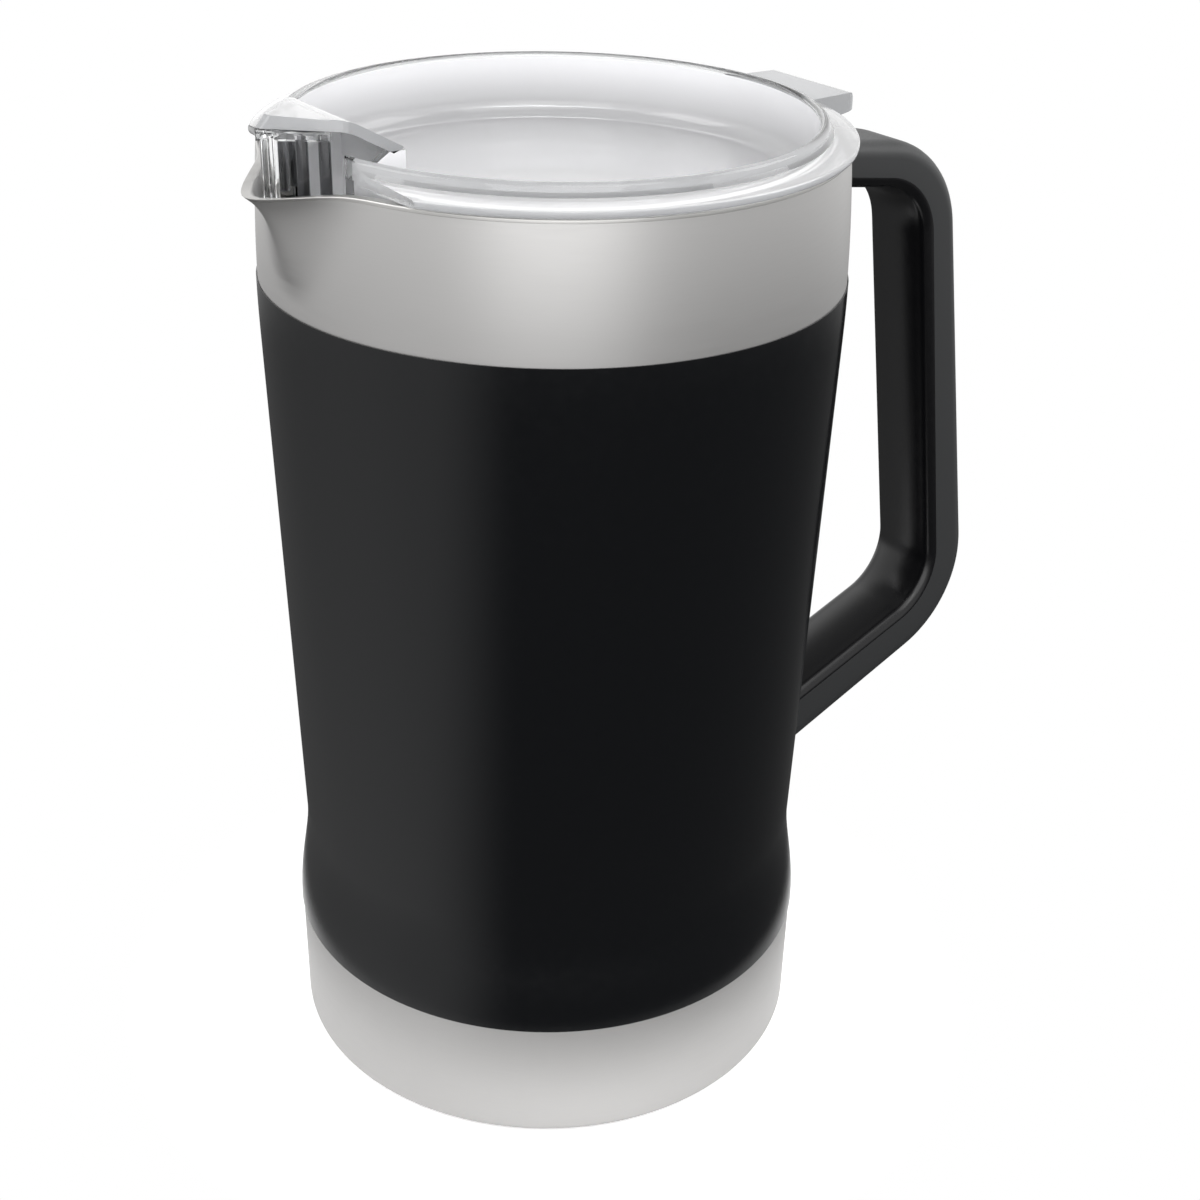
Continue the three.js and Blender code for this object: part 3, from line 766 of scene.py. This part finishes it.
@dataclass
class Handle:
    """The bowed handle: a spine on two arms, with a half shell over its finger side."""

    width: float = 21.6
    upper_thickness: float = 11.7
    lower_thickness: float = 18.0
    inner_edge: float = 2.7
    outer_edge: float = 4.8
    upper_root_drop: float = 14.75
    knuckle: Corner = (111.45, 210.55, 22.0)
    heel: Corner = (132.95, 82.65, 22.3)
    lower_root_height: float = 54.05
    lower_straight: float = 20.0
    root_inside: float = 6.0
    root_rise: float = 2.2
    root_flare: float = 1.8
    collar_end: float = 0.2
    root_length: float = 4.0
    cover_thickness: float = 3.8
    cover_crown: float = 1.0
    crown_steps: int = 12
    parting: float = 0.1
    seam: float = 0.3
    collar_stations: int = 2
    trim_rows: int = 6
    smooth_deg: float = 40.0

    def bow(self, body: Body) -> list[Flat]:
        """The bow's centreline in x and z, from inside the body at the top to inside it below.

        Args:
            body: The jug that the handle is mounted on.

        Returns:
            The centreline's points in mm.
        """
        upper_z = body.rim_height - self.upper_root_drop
        upper = Vector((body.shell_radius(upper_z), upper_z))
        lower = Vector((body.shell_radius(self.lower_root_height), self.lower_root_height))
        out_top = (Vector(self.knuckle[:2]) - upper).normalized()
        out_low = (Vector(self.heel[:2]) - lower).normalized()
        upper_steps = (-self.root_inside, self.collar_end, self.root_length)
        start = [(*(upper + out_top * step), 0.0) for step in upper_steps]
        end = [(*(lower + out_low * step), 0.0) for step in (self.lower_straight, -self.root_inside)]
        return rounded([*start, self.knuckle, self.heel, *end], steps=20, closed=False)

    def stations(self, body: Body) -> list[Station]:
        """For each point of the bow: the middle of the finger side, the way on, and the thickness.

        Args:
            body: The jug that the handle is mounted on.

        Returns:
            The stations, from the upper root to the lower one.
        """
        points = [Vector((x, 0, z)) for x, z in self.bow(body)]
        steps = [(b - a).length for a, b in zip(points, points[1:])]
        found = []
        for i, point in enumerate(points):
            back = (point - points[max(i - 1, 0)]).normalized()
            ahead = (points[min(i + 1, len(points) - 1)] - point).normalized()
            way = math.atan2((back + ahead).z, (back + ahead).x)
            share = sum(steps[:i]) / sum(steps)
            thick = self.upper_thickness + (self.lower_thickness - self.upper_thickness) * share
            middle = Station(point, way, thick)
            found.append(replace(middle, foot=point - middle.out * thick / 2))
        return found

    def sweep(self, name: str, stations: Sequence[Station], outline: Sequence[Flat]) -> Piece:
        """Draw an outline across the bow and extrude it along, station by station.

        Args:
            name: The new object's name.
            stations: The places along the bow.
            outline: The section, across and outward, one unit high.

        Returns:
            The closed piece.
        """
        first = stations[0]
        up = first.out * first.height
        piece = fill(name, [first.foot + Vector((0, across, 0)) + up * n for across, n in outline])
        for last, here in zip(stations, stations[1:]):
            centre = here.foot * MM
            extrude((here.foot - last.foot) * MM)
            turn = (here.way - last.way + math.pi) % math.tau - math.pi
            bpy.ops.transform.rotate(value=turn, orient_axis="Y", center_override=centre)
            grow = here.height / last.height
            bpy.ops.transform.resize(value=(grow, 1, grow), center_override=centre)
        return close_mesh(piece, self.smooth_deg)

    def trim(self, piece: Piece, body: Body) -> None:
        """Cut a piece's roots to the body's outside.

        Args:
            piece: The swept piece.
            body: The jug that the handle is mounted on.
        """
        heights = [z for z in body.wall_levels() if z < body.spout_foot]
        heights += levels(body.spout_foot, body.rim_height, self.trim_rows)
        reach = body.skin + self.seam
        outside = [(body.shell_radius(z) + reach, z) for z in heights]
        envelope = turned("body_tool", [(0, heights[0]), *outside, (0, heights[-1])], body.steps)
        use_tool(piece, envelope, Cut.REMOVE)
        smooth(piece, self.smooth_deg)

    def build_spine(self, body: Body) -> Piece:
        """Sweep the spine, with the collar on its upper root, and trim it to the body.

        Args:
            body: The jug that it is mounted on.

        Returns:
            The spine.
        """
        half, edge = self.width / 2, self.outer_edge
        lift = self.cover_thickness + self.parting
        mean = (self.upper_thickness + self.lower_thickness) / 2 - lift
        corners = [(half, 0, 0), (half, mean, edge), (-half, mean, edge), (-half, 0, 0)]
        outline = [(across, n / mean) for across, n in rounded(corners, steps=7)]
        places = []
        for i, at in enumerate(self.stations(body)):
            rise = self.root_rise if i < self.collar_stations else 0
            places.append(Station(at.foot + at.out * lift, at.way, at.height - lift + rise))
        spine = self.sweep("handle_bow", places, outline)
        self.trim(spine, body)
        return spine

    def build_cover(self, body: Body) -> Piece:
        """Sweep the half shell on the finger side, a little crowned, and trim it to the body.

        Args:
            body: The jug that the handle is mounted on.

        Returns:
            The cover.
        """
        half, deep, edge = self.width / 2, self.cover_thickness, self.inner_edge
        flat = half - edge
        face = []
        for k in range(1, self.crown_steps):
            share = 2 * k / self.crown_steps
            face.append((flat - 2 * flat * k / self.crown_steps, self.cover_crown * (share - 1) ** 2))
        corner = arc(flat, self.cover_crown + edge, edge, 0, -90, steps=7)
        near = [(half, deep)] + [(across, min(n, deep)) for across, n in corner]
        far = [(-across, n) for across, n in reversed(near)]
        places = []
        for i, at in enumerate(self.stations(body)):
            flare = self.root_flare if i < self.collar_stations else 0
            places.append(Station(at.foot - at.out * flare, at.way, 1 + flare / deep))
        cover = self.sweep("handle_grip_cover", places, near + face + far)
        self.trim(cover, body)
        return cover


@dataclass
class Lid:
    """The clear lid: rim flange, ridge and dish, with a hooded pour bay and a thumb tab."""

    flange_low: float = 231.7
    flange_thickness: float = 2.6
    flange_fall: float = 0.9
    flange_radius: float = 66.8
    flange_edge: float = 0.6
    flange_cut: float = 0.06
    ridge_rise: float = 2.6
    ridge_foot: float = 0.8
    ridge_flat: float = 0.05
    plug_radius: float = 60.3
    wall: float = 2.3
    dish_depth: float = 12.6
    dish_fillet: float = 4.0
    plug_corner: float = 2.5
    gasket_drop: float = 4.6
    gasket_height: float = 3.8
    groove: float = 0.8
    seat_gap: float = 0.3
    tab_half_width: float = 15.0
    tab_reach: float = 11.4
    tab_root: float = 1.2
    tab_fillet: float = 0.5
    tab_drop: float = 5.4
    tab_rise: float = 1.4
    tab_rake: float = 2.4
    tab_edge: float = 1.2
    tab_taper: float = 1.2
    tab_corner: float = 4.0
    bay_half_width: float = 10.5
    bay_wall: float = 2.0
    bay_end: float = -45.5
    back_inset: float = 0.1
    wall_dip: float = 0.6
    hood_bend: float = -58.4
    bend_outside: float = 10.0
    bend_inside: float = 8.0
    hood_tip: float = -73.2
    hood_rake: float = 2.4
    hood_top: float = 244.3
    hood_roof: float = 2.4
    hood_end_top: float = 237.2
    hood_end_depth: float = 0.9
    hood_end_edges: tuple[float, float] = (0.2, 0.3)
    hood_nose: float = 1.6
    hood_shoulder: float = 6.0
    rib_width: float = 2.4
    rib_depth: float = 2.2
    rib_edge: float = 0.5
    rib_shares: tuple[float, float] = (0.56, 0.9)
    nose_rib: float = 4.2
    rail: float = 2.2
    guard_setback: float = 2.6
    guard_low: float = 227.2
    # The tools that shape the lid: how far they stand past it, and where the flange's tool ends
    tool_margin: float = 2.0
    tab_margin: float = 1.0
    tool_reach: float = 8.0
    nose_tool_back: float = 30.0
    flange_tool_side: float = 70.0
    flange_tool_front: float = -90.0
    # How the faces are sorted into zones, with painted highlight on faces that face up and painted shade on
    # the edges: slack in mm, and how far up their normals point
    slack: float = 0.2
    rim_band: float = 1.0
    roof_up: float = 0.75
    side_up: float = 0.6
    top_up: float = 0.4
    under_up: float = -0.3
    smooth_deg: float = 30.0
    steps: int = 240

    @property
    def flange_high(self) -> float:
        """The flange's top."""
        return self.flange_low + self.flange_thickness

    @property
    def ridge_top(self) -> float:
        """The ridge's top."""
        return self.flange_high + self.ridge_rise

    @property
    def dish_floor(self) -> float:
        """The dish's floor."""
        return self.flange_high - self.dish_depth

    @property
    def dish_under(self) -> float:
        """The underside of the dish."""
        return self.dish_floor - self.wall

    @property
    def dish_radius(self) -> float:
        """The inside of the dish's wall."""
        return self.plug_radius - self.wall

    @property
    def bay_side(self) -> float:
        """The outside of the bay's walls."""
        return self.bay_half_width + self.bay_wall

    @property
    def hood_low(self) -> float:
        """The underside of the hood's roof."""
        return self.hood_top - self.hood_roof

    @property
    def guard_top(self) -> float:
        """The top of the ice guard's rail, under the hood."""
        return self.hood_low - self.seat_gap

    @property
    def roof_end(self) -> Flat:
        """The lower corner of the roof's pointed end.

        Returns:
            Its x and z in mm.
        """
        slope = (self.hood_top - self.hood_end_top) / (self.bay_end - self.hood_bend)
        x = self.bay_end - (self.hood_roof - self.hood_end_depth) / slope
        return x, self.hood_end_top - self.hood_end_depth

    def profile(self) -> list[Flat]:
        """The lid's turned profile.

        Returns:
            Radius and height of each point in mm.
        """
        plug, edge, fillet = self.plug_radius, self.flange_edge, self.dish_fillet
        soft = self.wall / 2 - self.ridge_flat
        rim = self.flange_radius - edge
        gasket_top = self.flange_low - self.gasket_drop + self.seat_gap
        gasket_low = gasket_top - self.gasket_height - 2 * self.seat_gap
        corner = self.plug_corner
        points = [(0.0, self.dish_under)]
        points += arc(plug - corner, self.dish_under + corner, corner, -90, 0, steps=6)
        points += [(plug, gasket_low), (plug - self.groove, gasket_low)]
        points += [(plug - self.groove, gasket_top), (plug, gasket_top), (plug, self.flange_low)]
        points += arc(rim, self.flange_low + edge, edge, -90, 0, steps=4)
        points += arc(rim, self.flange_high - self.flange_fall - edge, edge, 0, 90, steps=5)
        points += [(plug + self.ridge_foot, self.flange_high), (plug, self.flange_high + self.ridge_foot)]
        points += arc(plug - soft, self.ridge_top - soft, soft, 0, 90, steps=5)
        points += arc(self.dish_radius + soft, self.ridge_top - soft, soft, 90, 180, steps=5)
        points += arc(self.dish_radius - fillet, self.dish_floor + fillet, fillet, 0, -90, steps=10)
        points.append((0.0, self.dish_floor))
        return points

    def build_nose(self) -> Piece:
        """The hood's plan as a tool: straight sides and a V over the spout that leans back.

        Returns:
            The tool.
        """
        foot, head = self.hood_low - self.tool_reach, self.hood_top + self.tool_margin
        lean = self.hood_rake / self.hood_roof
        tip = self.hood_tip - lean * (self.hood_low - foot)
        back = self.bay_end + self.nose_tool_back
        outline = rounded(
            [
                (back, -self.bay_side, 0),
                (back, self.bay_side, 0),
                (self.hood_bend, self.bay_side, self.hood_shoulder),
                (tip, 0, self.hood_nose),
                (self.hood_bend, -self.bay_side, self.hood_shoulder),
            ]
        )
        tool = fill("nose_tool", [Vector((x, y, foot)) for x, y in outline])
        extrude(Vector((0, 0, head - foot)) * MM)
        reach = self.hood_bend - tip
        bpy.ops.transform.resize(
            value=(1 - lean * (head - foot) / reach, 1, 1),
            center_override=Vector((self.hood_bend, 0, head)) * MM,
        )
        return close_mesh(tool)

    def build_roof(self) -> Piece:
        """The hood's roof: a bent plate trimmed to the hood's plan.

        Returns:
            The roof.
        """
        front = self.hood_tip - self.tool_margin
        low_edge, top_edge = self.hood_end_edges
        outline = rounded(
            [
                (*self.roof_end, low_edge),
                (self.bay_end, self.hood_end_top, top_edge),
                (self.hood_bend, self.hood_top, self.bend_outside),
                (front, self.hood_top, 0),
                (front, self.hood_low, 0),
                (self.hood_bend, self.hood_low, self.bend_inside),
            ],
            steps=6,
        )
        roof = crosswise("hood_roof", outline, -self.bay_side, self.bay_side)
        use_tool(roof, self.build_nose(), Cut.KEEP_COMMON)
        return roof

    def build_tab(self) -> Piece:
        """The thumb tab: a wedge over the handle whose tip leans out.

        Returns:
            The tab.
        """
        inner = self.plug_radius + self.wall / 2
        start = self.flange_radius + self.tab_root
        outer = self.flange_radius + self.tab_reach
        low = self.flange_high - self.tab_drop
        outline = rounded(
            [
                (inner, self.flange_low, 0),
                (start, self.flange_low, self.tab_fillet),
                (start, low, self.tab_edge / 2),
                (outer, low + self.tab_rise, self.tab_edge),
                (outer - self.tab_rake, self.flange_high, self.tab_edge),
                (inner, self.flange_high, 0),
            ]
        )
        half = self.tab_half_width
        tab = crosswise("thumb_tab", outline, -half, half)
        plan = rounded(
            [
                (inner, -half, 0),
                (outer, -half + self.tab_taper, self.tab_corner),
                (outer, half - self.tab_taper, self.tab_corner),
                (inner, half, 0),
            ]
        )
        tool = upright("tab_tool", plan, low - self.tab_margin, self.flange_high + self.tab_margin)
        use_tool(tab, tool, Cut.KEEP_COMMON)
        return tab

    def cut_bay(self, lid: Piece) -> None:
        """Cut the pour bay out of the turned lid, and the flange back on both sides of the spout.

        Args:
            lid: The turned lid.
        """
        front, back = self.hood_tip - self.tool_reach, self.bay_end - self.bay_wall
        side, far = self.bay_half_width, self.flange_tool_side
        spread = self.hood_bend + self.flange_cut * (far - self.bay_side)
        plans = {
            "bay_tool": [(front, -side), (back, -side), (back, side), (front, side)],
            "flange_tool": [
                (self.flange_tool_front, -far),
                (spread, -far),
                (self.hood_bend, -self.bay_side),
                (self.hood_bend, self.bay_side),
                (spread, far),
                (self.flange_tool_front, far),
            ],
        }
        for name, plan in plans.items():
            tool = upright(name, plan, self.dish_under - self.tool_margin, self.hood_top + self.tool_margin)
            use_tool(lid, tool, Cut.REMOVE)

    def bay_walls(self) -> list[Piece]:
        """The bay's two sides, cut down towards the spout, and its back.

        Returns:
            The three walls.
        """
        end_x, end_z = self.roof_end
        end_z += self.hood_end_depth / 2
        side = [
            (self.bay_end, self.dish_under),
            (self.bay_end, end_z),
            (end_x - self.bay_wall / 2, end_z),
            (self.hood_bend, self.flange_low - self.wall_dip),
            (self.hood_bend, self.dish_under + self.plug_corner),
            (self.hood_bend + self.plug_corner, self.dish_under),
        ]
        near, far = self.bay_end - self.back_inset, self.bay_end - self.bay_wall
        low, high = self.dish_under + self.back_inset, end_z - self.back_inset
        back = [(near, low), (near, high), (far, high), (far, low)]
        half = self.bay_side - self.bay_wall / 2
        return [
            crosswise("bay_side_near", side, -self.bay_side, -self.bay_half_width),
            crosswise("bay_side_far", side, self.bay_half_width, self.bay_side),
            crosswise("bay_back", back, -half, half),
        ]

    def build(self) -> Piece:
        """Spin the lid, cut the pour bay and fuse the hood, its walls and the tab.

        Returns:
            The lid.
        """
        lid = turned("clear_lid", self.profile(), self.steps)
        self.cut_bay(lid)
        for part in [*self.bay_walls(), self.build_roof(), self.build_tab()]:
            use_tool(lid, part, Cut.FUSE)
        smooth(lid, self.smooth_deg)
        return lid

    def zone(self, centre: Vector, normal: Vector) -> Look:
        """The look of the zone that a face of the lid is in.

        Args:
            centre: The middle of the face in mm.
            normal: The way that it faces.

        Returns:
            Hazy in the dish and outside the bay's walls, painted shade in grey in the tab and at the edges of
            the hood and the rim, painted highlight in milky white where the hood and the rim face up, and
            clear elsewhere.
        """
        away = centre.xy.length
        on_hood = centre.z > self.ridge_top + self.slack
        in_dish = self.dish_under + self.slack < centre.z < self.ridge_top - self.rim_band
        out_of_bay = centre.x > self.bay_end - self.slack or abs(centre.y) > self.bay_side - self.slack
        if in_dish and out_of_bay and away < self.dish_radius + self.slack:
            return Look.HAZY_PLASTIC
        # The tab, the hood's fascia and the rim's sides get painted shade, an even grey.
        if centre.x > self.flange_radius + self.slack:
            return Look.EDGE_PLASTIC
        if on_hood and self.under_up < normal.z < self.roof_up:
            return Look.EDGE_PLASTIC
        if away > self.flange_radius - self.rim_band and abs(normal.z) < self.side_up:
            return Look.EDGE_PLASTIC
        # Faces that face up get painted highlight, a milky lighter finish.
        if normal.z > self.top_up and (on_hood or away > self.plug_radius + self.ridge_foot):
            return Look.MILKY_PLASTIC
        return Look.CLEAR_PLASTIC

    def finish_zones(self, lid: Piece, looks: Looks) -> None:
        """Give each zone of the lid its own finish: haze in the dish, painted highlight on faces that face
        up, and painted shade at the edges and in the tab.

        Args:
            lid: The finished lid.
            looks: The materials.
        """
        zones = [Look.CLEAR_PLASTIC, Look.HAZY_PLASTIC, Look.MILKY_PLASTIC, Look.EDGE_PLASTIC]
        lid.data.materials.clear()
        for look in zones:
            lid.data.materials.append(looks[look])
        for face in lid.data.polygons:
            face.material_index = zones.index(self.zone(face.center / MM, face.normal))

    def build_guard(self) -> Piece:
        """The ice guard: upright ribs on a rail that follows the hood's nose.

        Returns:
            The guard.
        """
        tip = Vector((self.hood_tip + self.guard_setback, 0))
        end = Vector((self.hood_bend - self.rib_depth / 2 - self.seat_gap, 0))
        end.y = self.bay_half_width - self.seat_gap - self.rib_width
        along = (end - tip).normalized()
        across = Vector((-along.y, along.x)) * (self.rib_depth / 2)
        mirror = Vector((1, -1))
        skew = Vector((self.rib_depth / 2 / along.y, 0))
        rail = [
            tip - skew,
            end + across,
            end - across,
            tip + skew,
            (end - across) * mirror,
            (end + across) * mirror,
        ]
        guard = upright(
            "clear_ice_guard", [tuple(p) for p in rail], self.guard_top - self.rail, self.guard_top
        )
        ribs = [(tip + skew / 2, Vector((0, 1)), self.nose_rib)]
        for share in self.rib_shares:
            spot = tip + (end - tip) * share
            ribs += [(spot, along, self.rib_width), (spot * mirror, along * mirror, self.rib_width)]
        for spot, way, width in ribs:
            half = way * (width / 2)
            side = Vector((-way.y, way.x)) * (self.rib_depth / 2)
            corners = [spot - half - side, spot + half - side, spot + half + side, spot - half + side]
            plan = rounded([(*corner, self.rib_edge) for corner in corners], steps=3)
            rib = upright("rib_tool", plan, self.guard_low, self.guard_top - self.rail / 2)
            use_tool(guard, rib, Cut.FUSE)
        smooth(guard, self.smooth_deg)
        return guard

    def shade_ribs(self, guard: Piece, material: Material) -> None:
        """Give the guard's side ribs a dark grey finish, painted shade for the shadowed bay seen between
        them.

        Args:
            guard: The finished guard, in its clear finish.
            material: The finish of the ribs.
        """
        guard.data.materials.append(material)
        beside = self.nose_rib / 2 + self.slack
        below = self.guard_top - self.rail - self.slack
        for face in guard.data.polygons:
            centre = face.center / MM
            face.material_index = int(abs(centre.y) > beside and centre.z < below)


@dataclass
class InnerPieces:
    """The pieces that keep their solids: those inside the walls, under the base and in the handle."""

    def dress_all(self, looks: Looks) -> None:
        """Give each kept node its material.

        Args:
            looks: The materials.
        """
        kept = {
            Look.INNER_STEEL: (
                "liner_bottom",
                "outer_bottom",
                "getter_clip",
                "upper_bracket",
                "lower_bracket",
            ),
            Look.SEAL_METAL: ("seal_bead",),
            Look.SINTERED_METAL: ("getter",),
            Look.PAD_RUBBER: ("base_pad",),
            Look.ZINC_STEEL: ("upper_screw_front", "upper_screw_rear", "lower_screw"),
            Look.SILICONE: ("lid_gasket",),
        }
        for look, nodes in kept.items():
            for node in nodes:
                dress(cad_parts[node], looks[look])
                LOG.info("%s: kept", node)


@dataclass(frozen=True)
class Lamp:
    """A soft square lamp that faces the jug.

    Its angles are in degrees, to the right of the camera as seen from the jug and above the
    floor. Its distance and side are in metres and its power is in watts.
    """

    name: str
    right_deg: float
    up_deg: float
    away: float
    side: float
    power: float


@dataclass
class Studio:
    """Floor, soft lamps, world and the photograph's camera."""

    distance: float = 418.08
    height: float = 335.92
    turn_deg: float = 35.0
    pitch_deg: float = 27.82
    roll_deg: float = 1.37
    yaw_deg: float = -1.70
    lens_mm: float = 56.92
    sensor_mm: float = 36.0
    near_clip: float = 0.01
    floor_size: float = 6.0
    # The floor fades to the white backdrop between these distances from the axis, in metres
    fade_start: float = 0.08
    fade_end: float = 0.115
    floor_glow: float = 0.4
    lamp_target: float = 0.12
    ambient: float = 0.72
    table_dark: float = 0.07
    table_light: float = 0.52
    lamps: tuple[Lamp, ...] = (
        Lamp("front_lamp", 1, 16, 1.4, 1.4, 8.4),
        Lamp("key_lamp", 24, 50, 1.3, 0.9, 4.6),
        Lamp("right_lamp", 102, 38, 1.4, 0.8, 5.2),
        Lamp("left_lamp", -75, 40, 1.4, 0.8, 5.4),
    )

    def build_camera(self) -> None:
        """Set up the camera that was fitted to the photograph."""
        data = bpy.data.cameras.new("photo_camera")
        data.lens = self.lens_mm
        data.sensor_width = self.sensor_mm
        data.clip_start = self.near_clip
        camera = bpy.data.objects.new("photo_camera", data)
        bpy.context.scene.collection.objects.link(camera)
        turn = Matrix.Rotation(-math.radians(self.turn_deg), 4, "Z")
        yaw = Matrix.Rotation(math.radians(self.yaw_deg), 4, "Z")
        tilt = Matrix.Rotation(math.pi / 2 - math.radians(self.pitch_deg), 4, "X")
        roll = Matrix.Rotation(math.radians(self.roll_deg), 4, "Z")
        spot = Matrix.Translation(Vector((0, -self.distance, self.height)) * MM)
        camera.matrix_world = turn @ spot @ yaw @ tilt @ roll
        bpy.context.scene.camera = camera

    def build_floor(self) -> None:
        """Lay the pale floor."""
        clear_selection()
        bpy.ops.mesh.primitive_plane_add(size=self.floor_size)
        floor = bpy.context.object
        floor.name = "studio_floor"
        material = bpy.data.materials.new("matt_white_floor")
        tree = empty_tree(material)
        paint = add_node(tree, "BsdfDiffuse", {"Color": linear("#FCFCFC")})
        clear = add_node(tree, "BsdfTransparent")
        spot = add_node(tree, "TexCoord").outputs["Object"]
        away = add_node(tree, "VectorMath", {0: spot}, operation="LENGTH")
        limits = span(self.fade_start, self.fade_end, 0, 1)
        fade = add_node(tree, "MapRange", {"Value": away, **limits}, interpolation_type="SMOOTHSTEP")
        seen = add_node(tree, "LightPath").outputs["Is Camera Ray"]
        level = add_node(tree, "Math", {0: seen, 1: self.floor_glow}, operation="MULTIPLY")
        glow = add_node(tree, "Emission", {"Color": (1, 1, 1, 1), "Strength": level})
        white = add_node(tree, "AddShader", {0: paint, 1: glow})
        shader = add_node(tree, "MixShader", {0: fade, 1: white, 2: clear})
        add_node(tree, "OutputMaterial", {"Surface": shader})
        dress(floor, material)

    def hang(self, lamp: Lamp) -> None:
        """Hang one lamp.

        Args:
            lamp: Where it hangs, and its size and power.
        """
        data = bpy.data.lights.new(lamp.name, "AREA")
        data.shape = "SQUARE"
        data.size = lamp.side
        data.energy = lamp.power
        light = bpy.data.objects.new(lamp.name, data)
        bpy.context.scene.collection.objects.link(light)
        turn = math.radians(-90 - self.turn_deg + lamp.right_deg)
        up = math.radians(lamp.up_deg)
        way = Vector((math.cos(turn) * math.cos(up), math.sin(turn) * math.cos(up), math.sin(up)))
        light.location = Vector((0, 0, self.lamp_target)) + way * lamp.away
        light.rotation_euler = way.to_track_quat("Z", "Y").to_euler()

    def build_world(self) -> None:
        """White all round, with a dim table in reflections that is lighter to the left of the camera."""
        world = bpy.data.worlds.new("studio_world")
        bpy.context.scene.world = world
        tree = empty_tree(world)
        path = add_node(tree, "LightPath")
        view = add_node(tree, "TexCoord").outputs["Generated"]
        turn = math.radians(self.turn_deg)
        left = Vector((-math.cos(turn), math.sin(turn), 0))
        behind = Vector((math.sin(turn), math.cos(turn), 0))
        up = Vector((0, 0, 1))
        # How each part of the room goes from one level to another along a way
        parts = {
            "left": (left, span(0.18, 0.7, 0, 1)),
            "front": (-behind, span(-0.8, 0.4, 0.15, 1)),
            "above_table": (up, span(-0.36, -0.16, 0, 1)),
            "behind": (behind, span(0.2, 0.7, 0.9, 1.2)),
            "ceiling": (up, span(0.55, 0.8, 1, 0.3)),
        }
        shares = {}
        for name, (way, limits) in parts.items():
            along = add_node(tree, "VectorMath", {0: view, 1: way}, operation="DOT_PRODUCT")
            inputs = {"Value": along, **limits}
            shares[name] = add_node(tree, "MapRange", inputs, interpolation_type="SMOOTHSTEP")
        card = add_node(tree, "Math", {0: shares["left"], 1: shares["front"]}, operation="MULTIPLY")
        table = add_node(tree, "MapRange", {"Value": card, **span(0, 1, self.table_dark, self.table_light)})
        room = add_node(tree, "Math", {0: shares["ceiling"], 1: shares["behind"]}, operation="MULTIPLY")
        mirrored = add_node(tree, "Mix", {"Factor": shares["above_table"], "A": table, "B": room})
        ahead = add_node(tree, "MapRange", {"Value": shares["front"], **span(0.6, 0.95, 0, 1)})
        through = add_node(tree, "Mix", {"Factor": ahead, "A": 1.0, "B": mirrored})
        level: Node | float = self.ambient
        rays = {"Is Glossy Ray": mirrored, "Is Transmission Ray": through, "Is Camera Ray": 1.0}
        for ray, light in rays.items():
            level = add_node(tree, "Mix", {"Factor": path.outputs[ray], "A": level, "B": light})
        shader = add_node(tree, "Background", {"Color": (1, 1, 1, 1), "Strength": level})
        add_node(tree, "OutputWorld", {"Surface": shader})

    def build(self) -> None:
        """Set up the whole studio."""
        self.build_camera()
        self.build_floor()
        self.build_world()
        for lamp in self.lamps:
            self.hang(lamp)
        bpy.context.scene.view_settings.view_transform = "Standard"


def main() -> None:
    """Build the pieces in order and report each one."""
    logging.basicConfig(level=logging.INFO, format="%(name)s: %(message)s")
    looks = {look: look.value.make() for look in Look}
    body = Body()
    place(body.build_shell(), Group.JUG, "outer_shell", looks[Look.SATIN_STEEL])
    place(body.build_coat(), Group.JUG, "powder_coat", looks[Look.GLOSS_COAT])
    place(body.build_liner(), Group.JUG, "inner_liner", looks[Look.INNER_STEEL])
    handle = Handle()
    spine = handle.build_spine(body)
    place(spine, Group.JUG, "handle_spine", looks[Look.GRAINED_PLASTIC])
    cover = handle.build_cover(body)
    place(cover, Group.JUG, "handle_cover", looks[Look.POLISHED_PLASTIC])
    lid = Lid()
    cap = lid.build()
    place(cap, Group.LID, "lid_body", looks[Look.CLEAR_PLASTIC])
    lid.finish_zones(cap, looks)
    guard = lid.build_guard()
    place(guard, Group.LID, "ice_guard", looks[Look.CLEAR_PLASTIC])
    # The side ribs get painted shade: a dark grey tint for the shadowed bay behind them.
    lid.shade_ribs(guard, looks[Look.SMOKE_PLASTIC])
    InnerPieces().dress_all(looks)
    Studio().build()


if __name__ == "__main__":
    main()
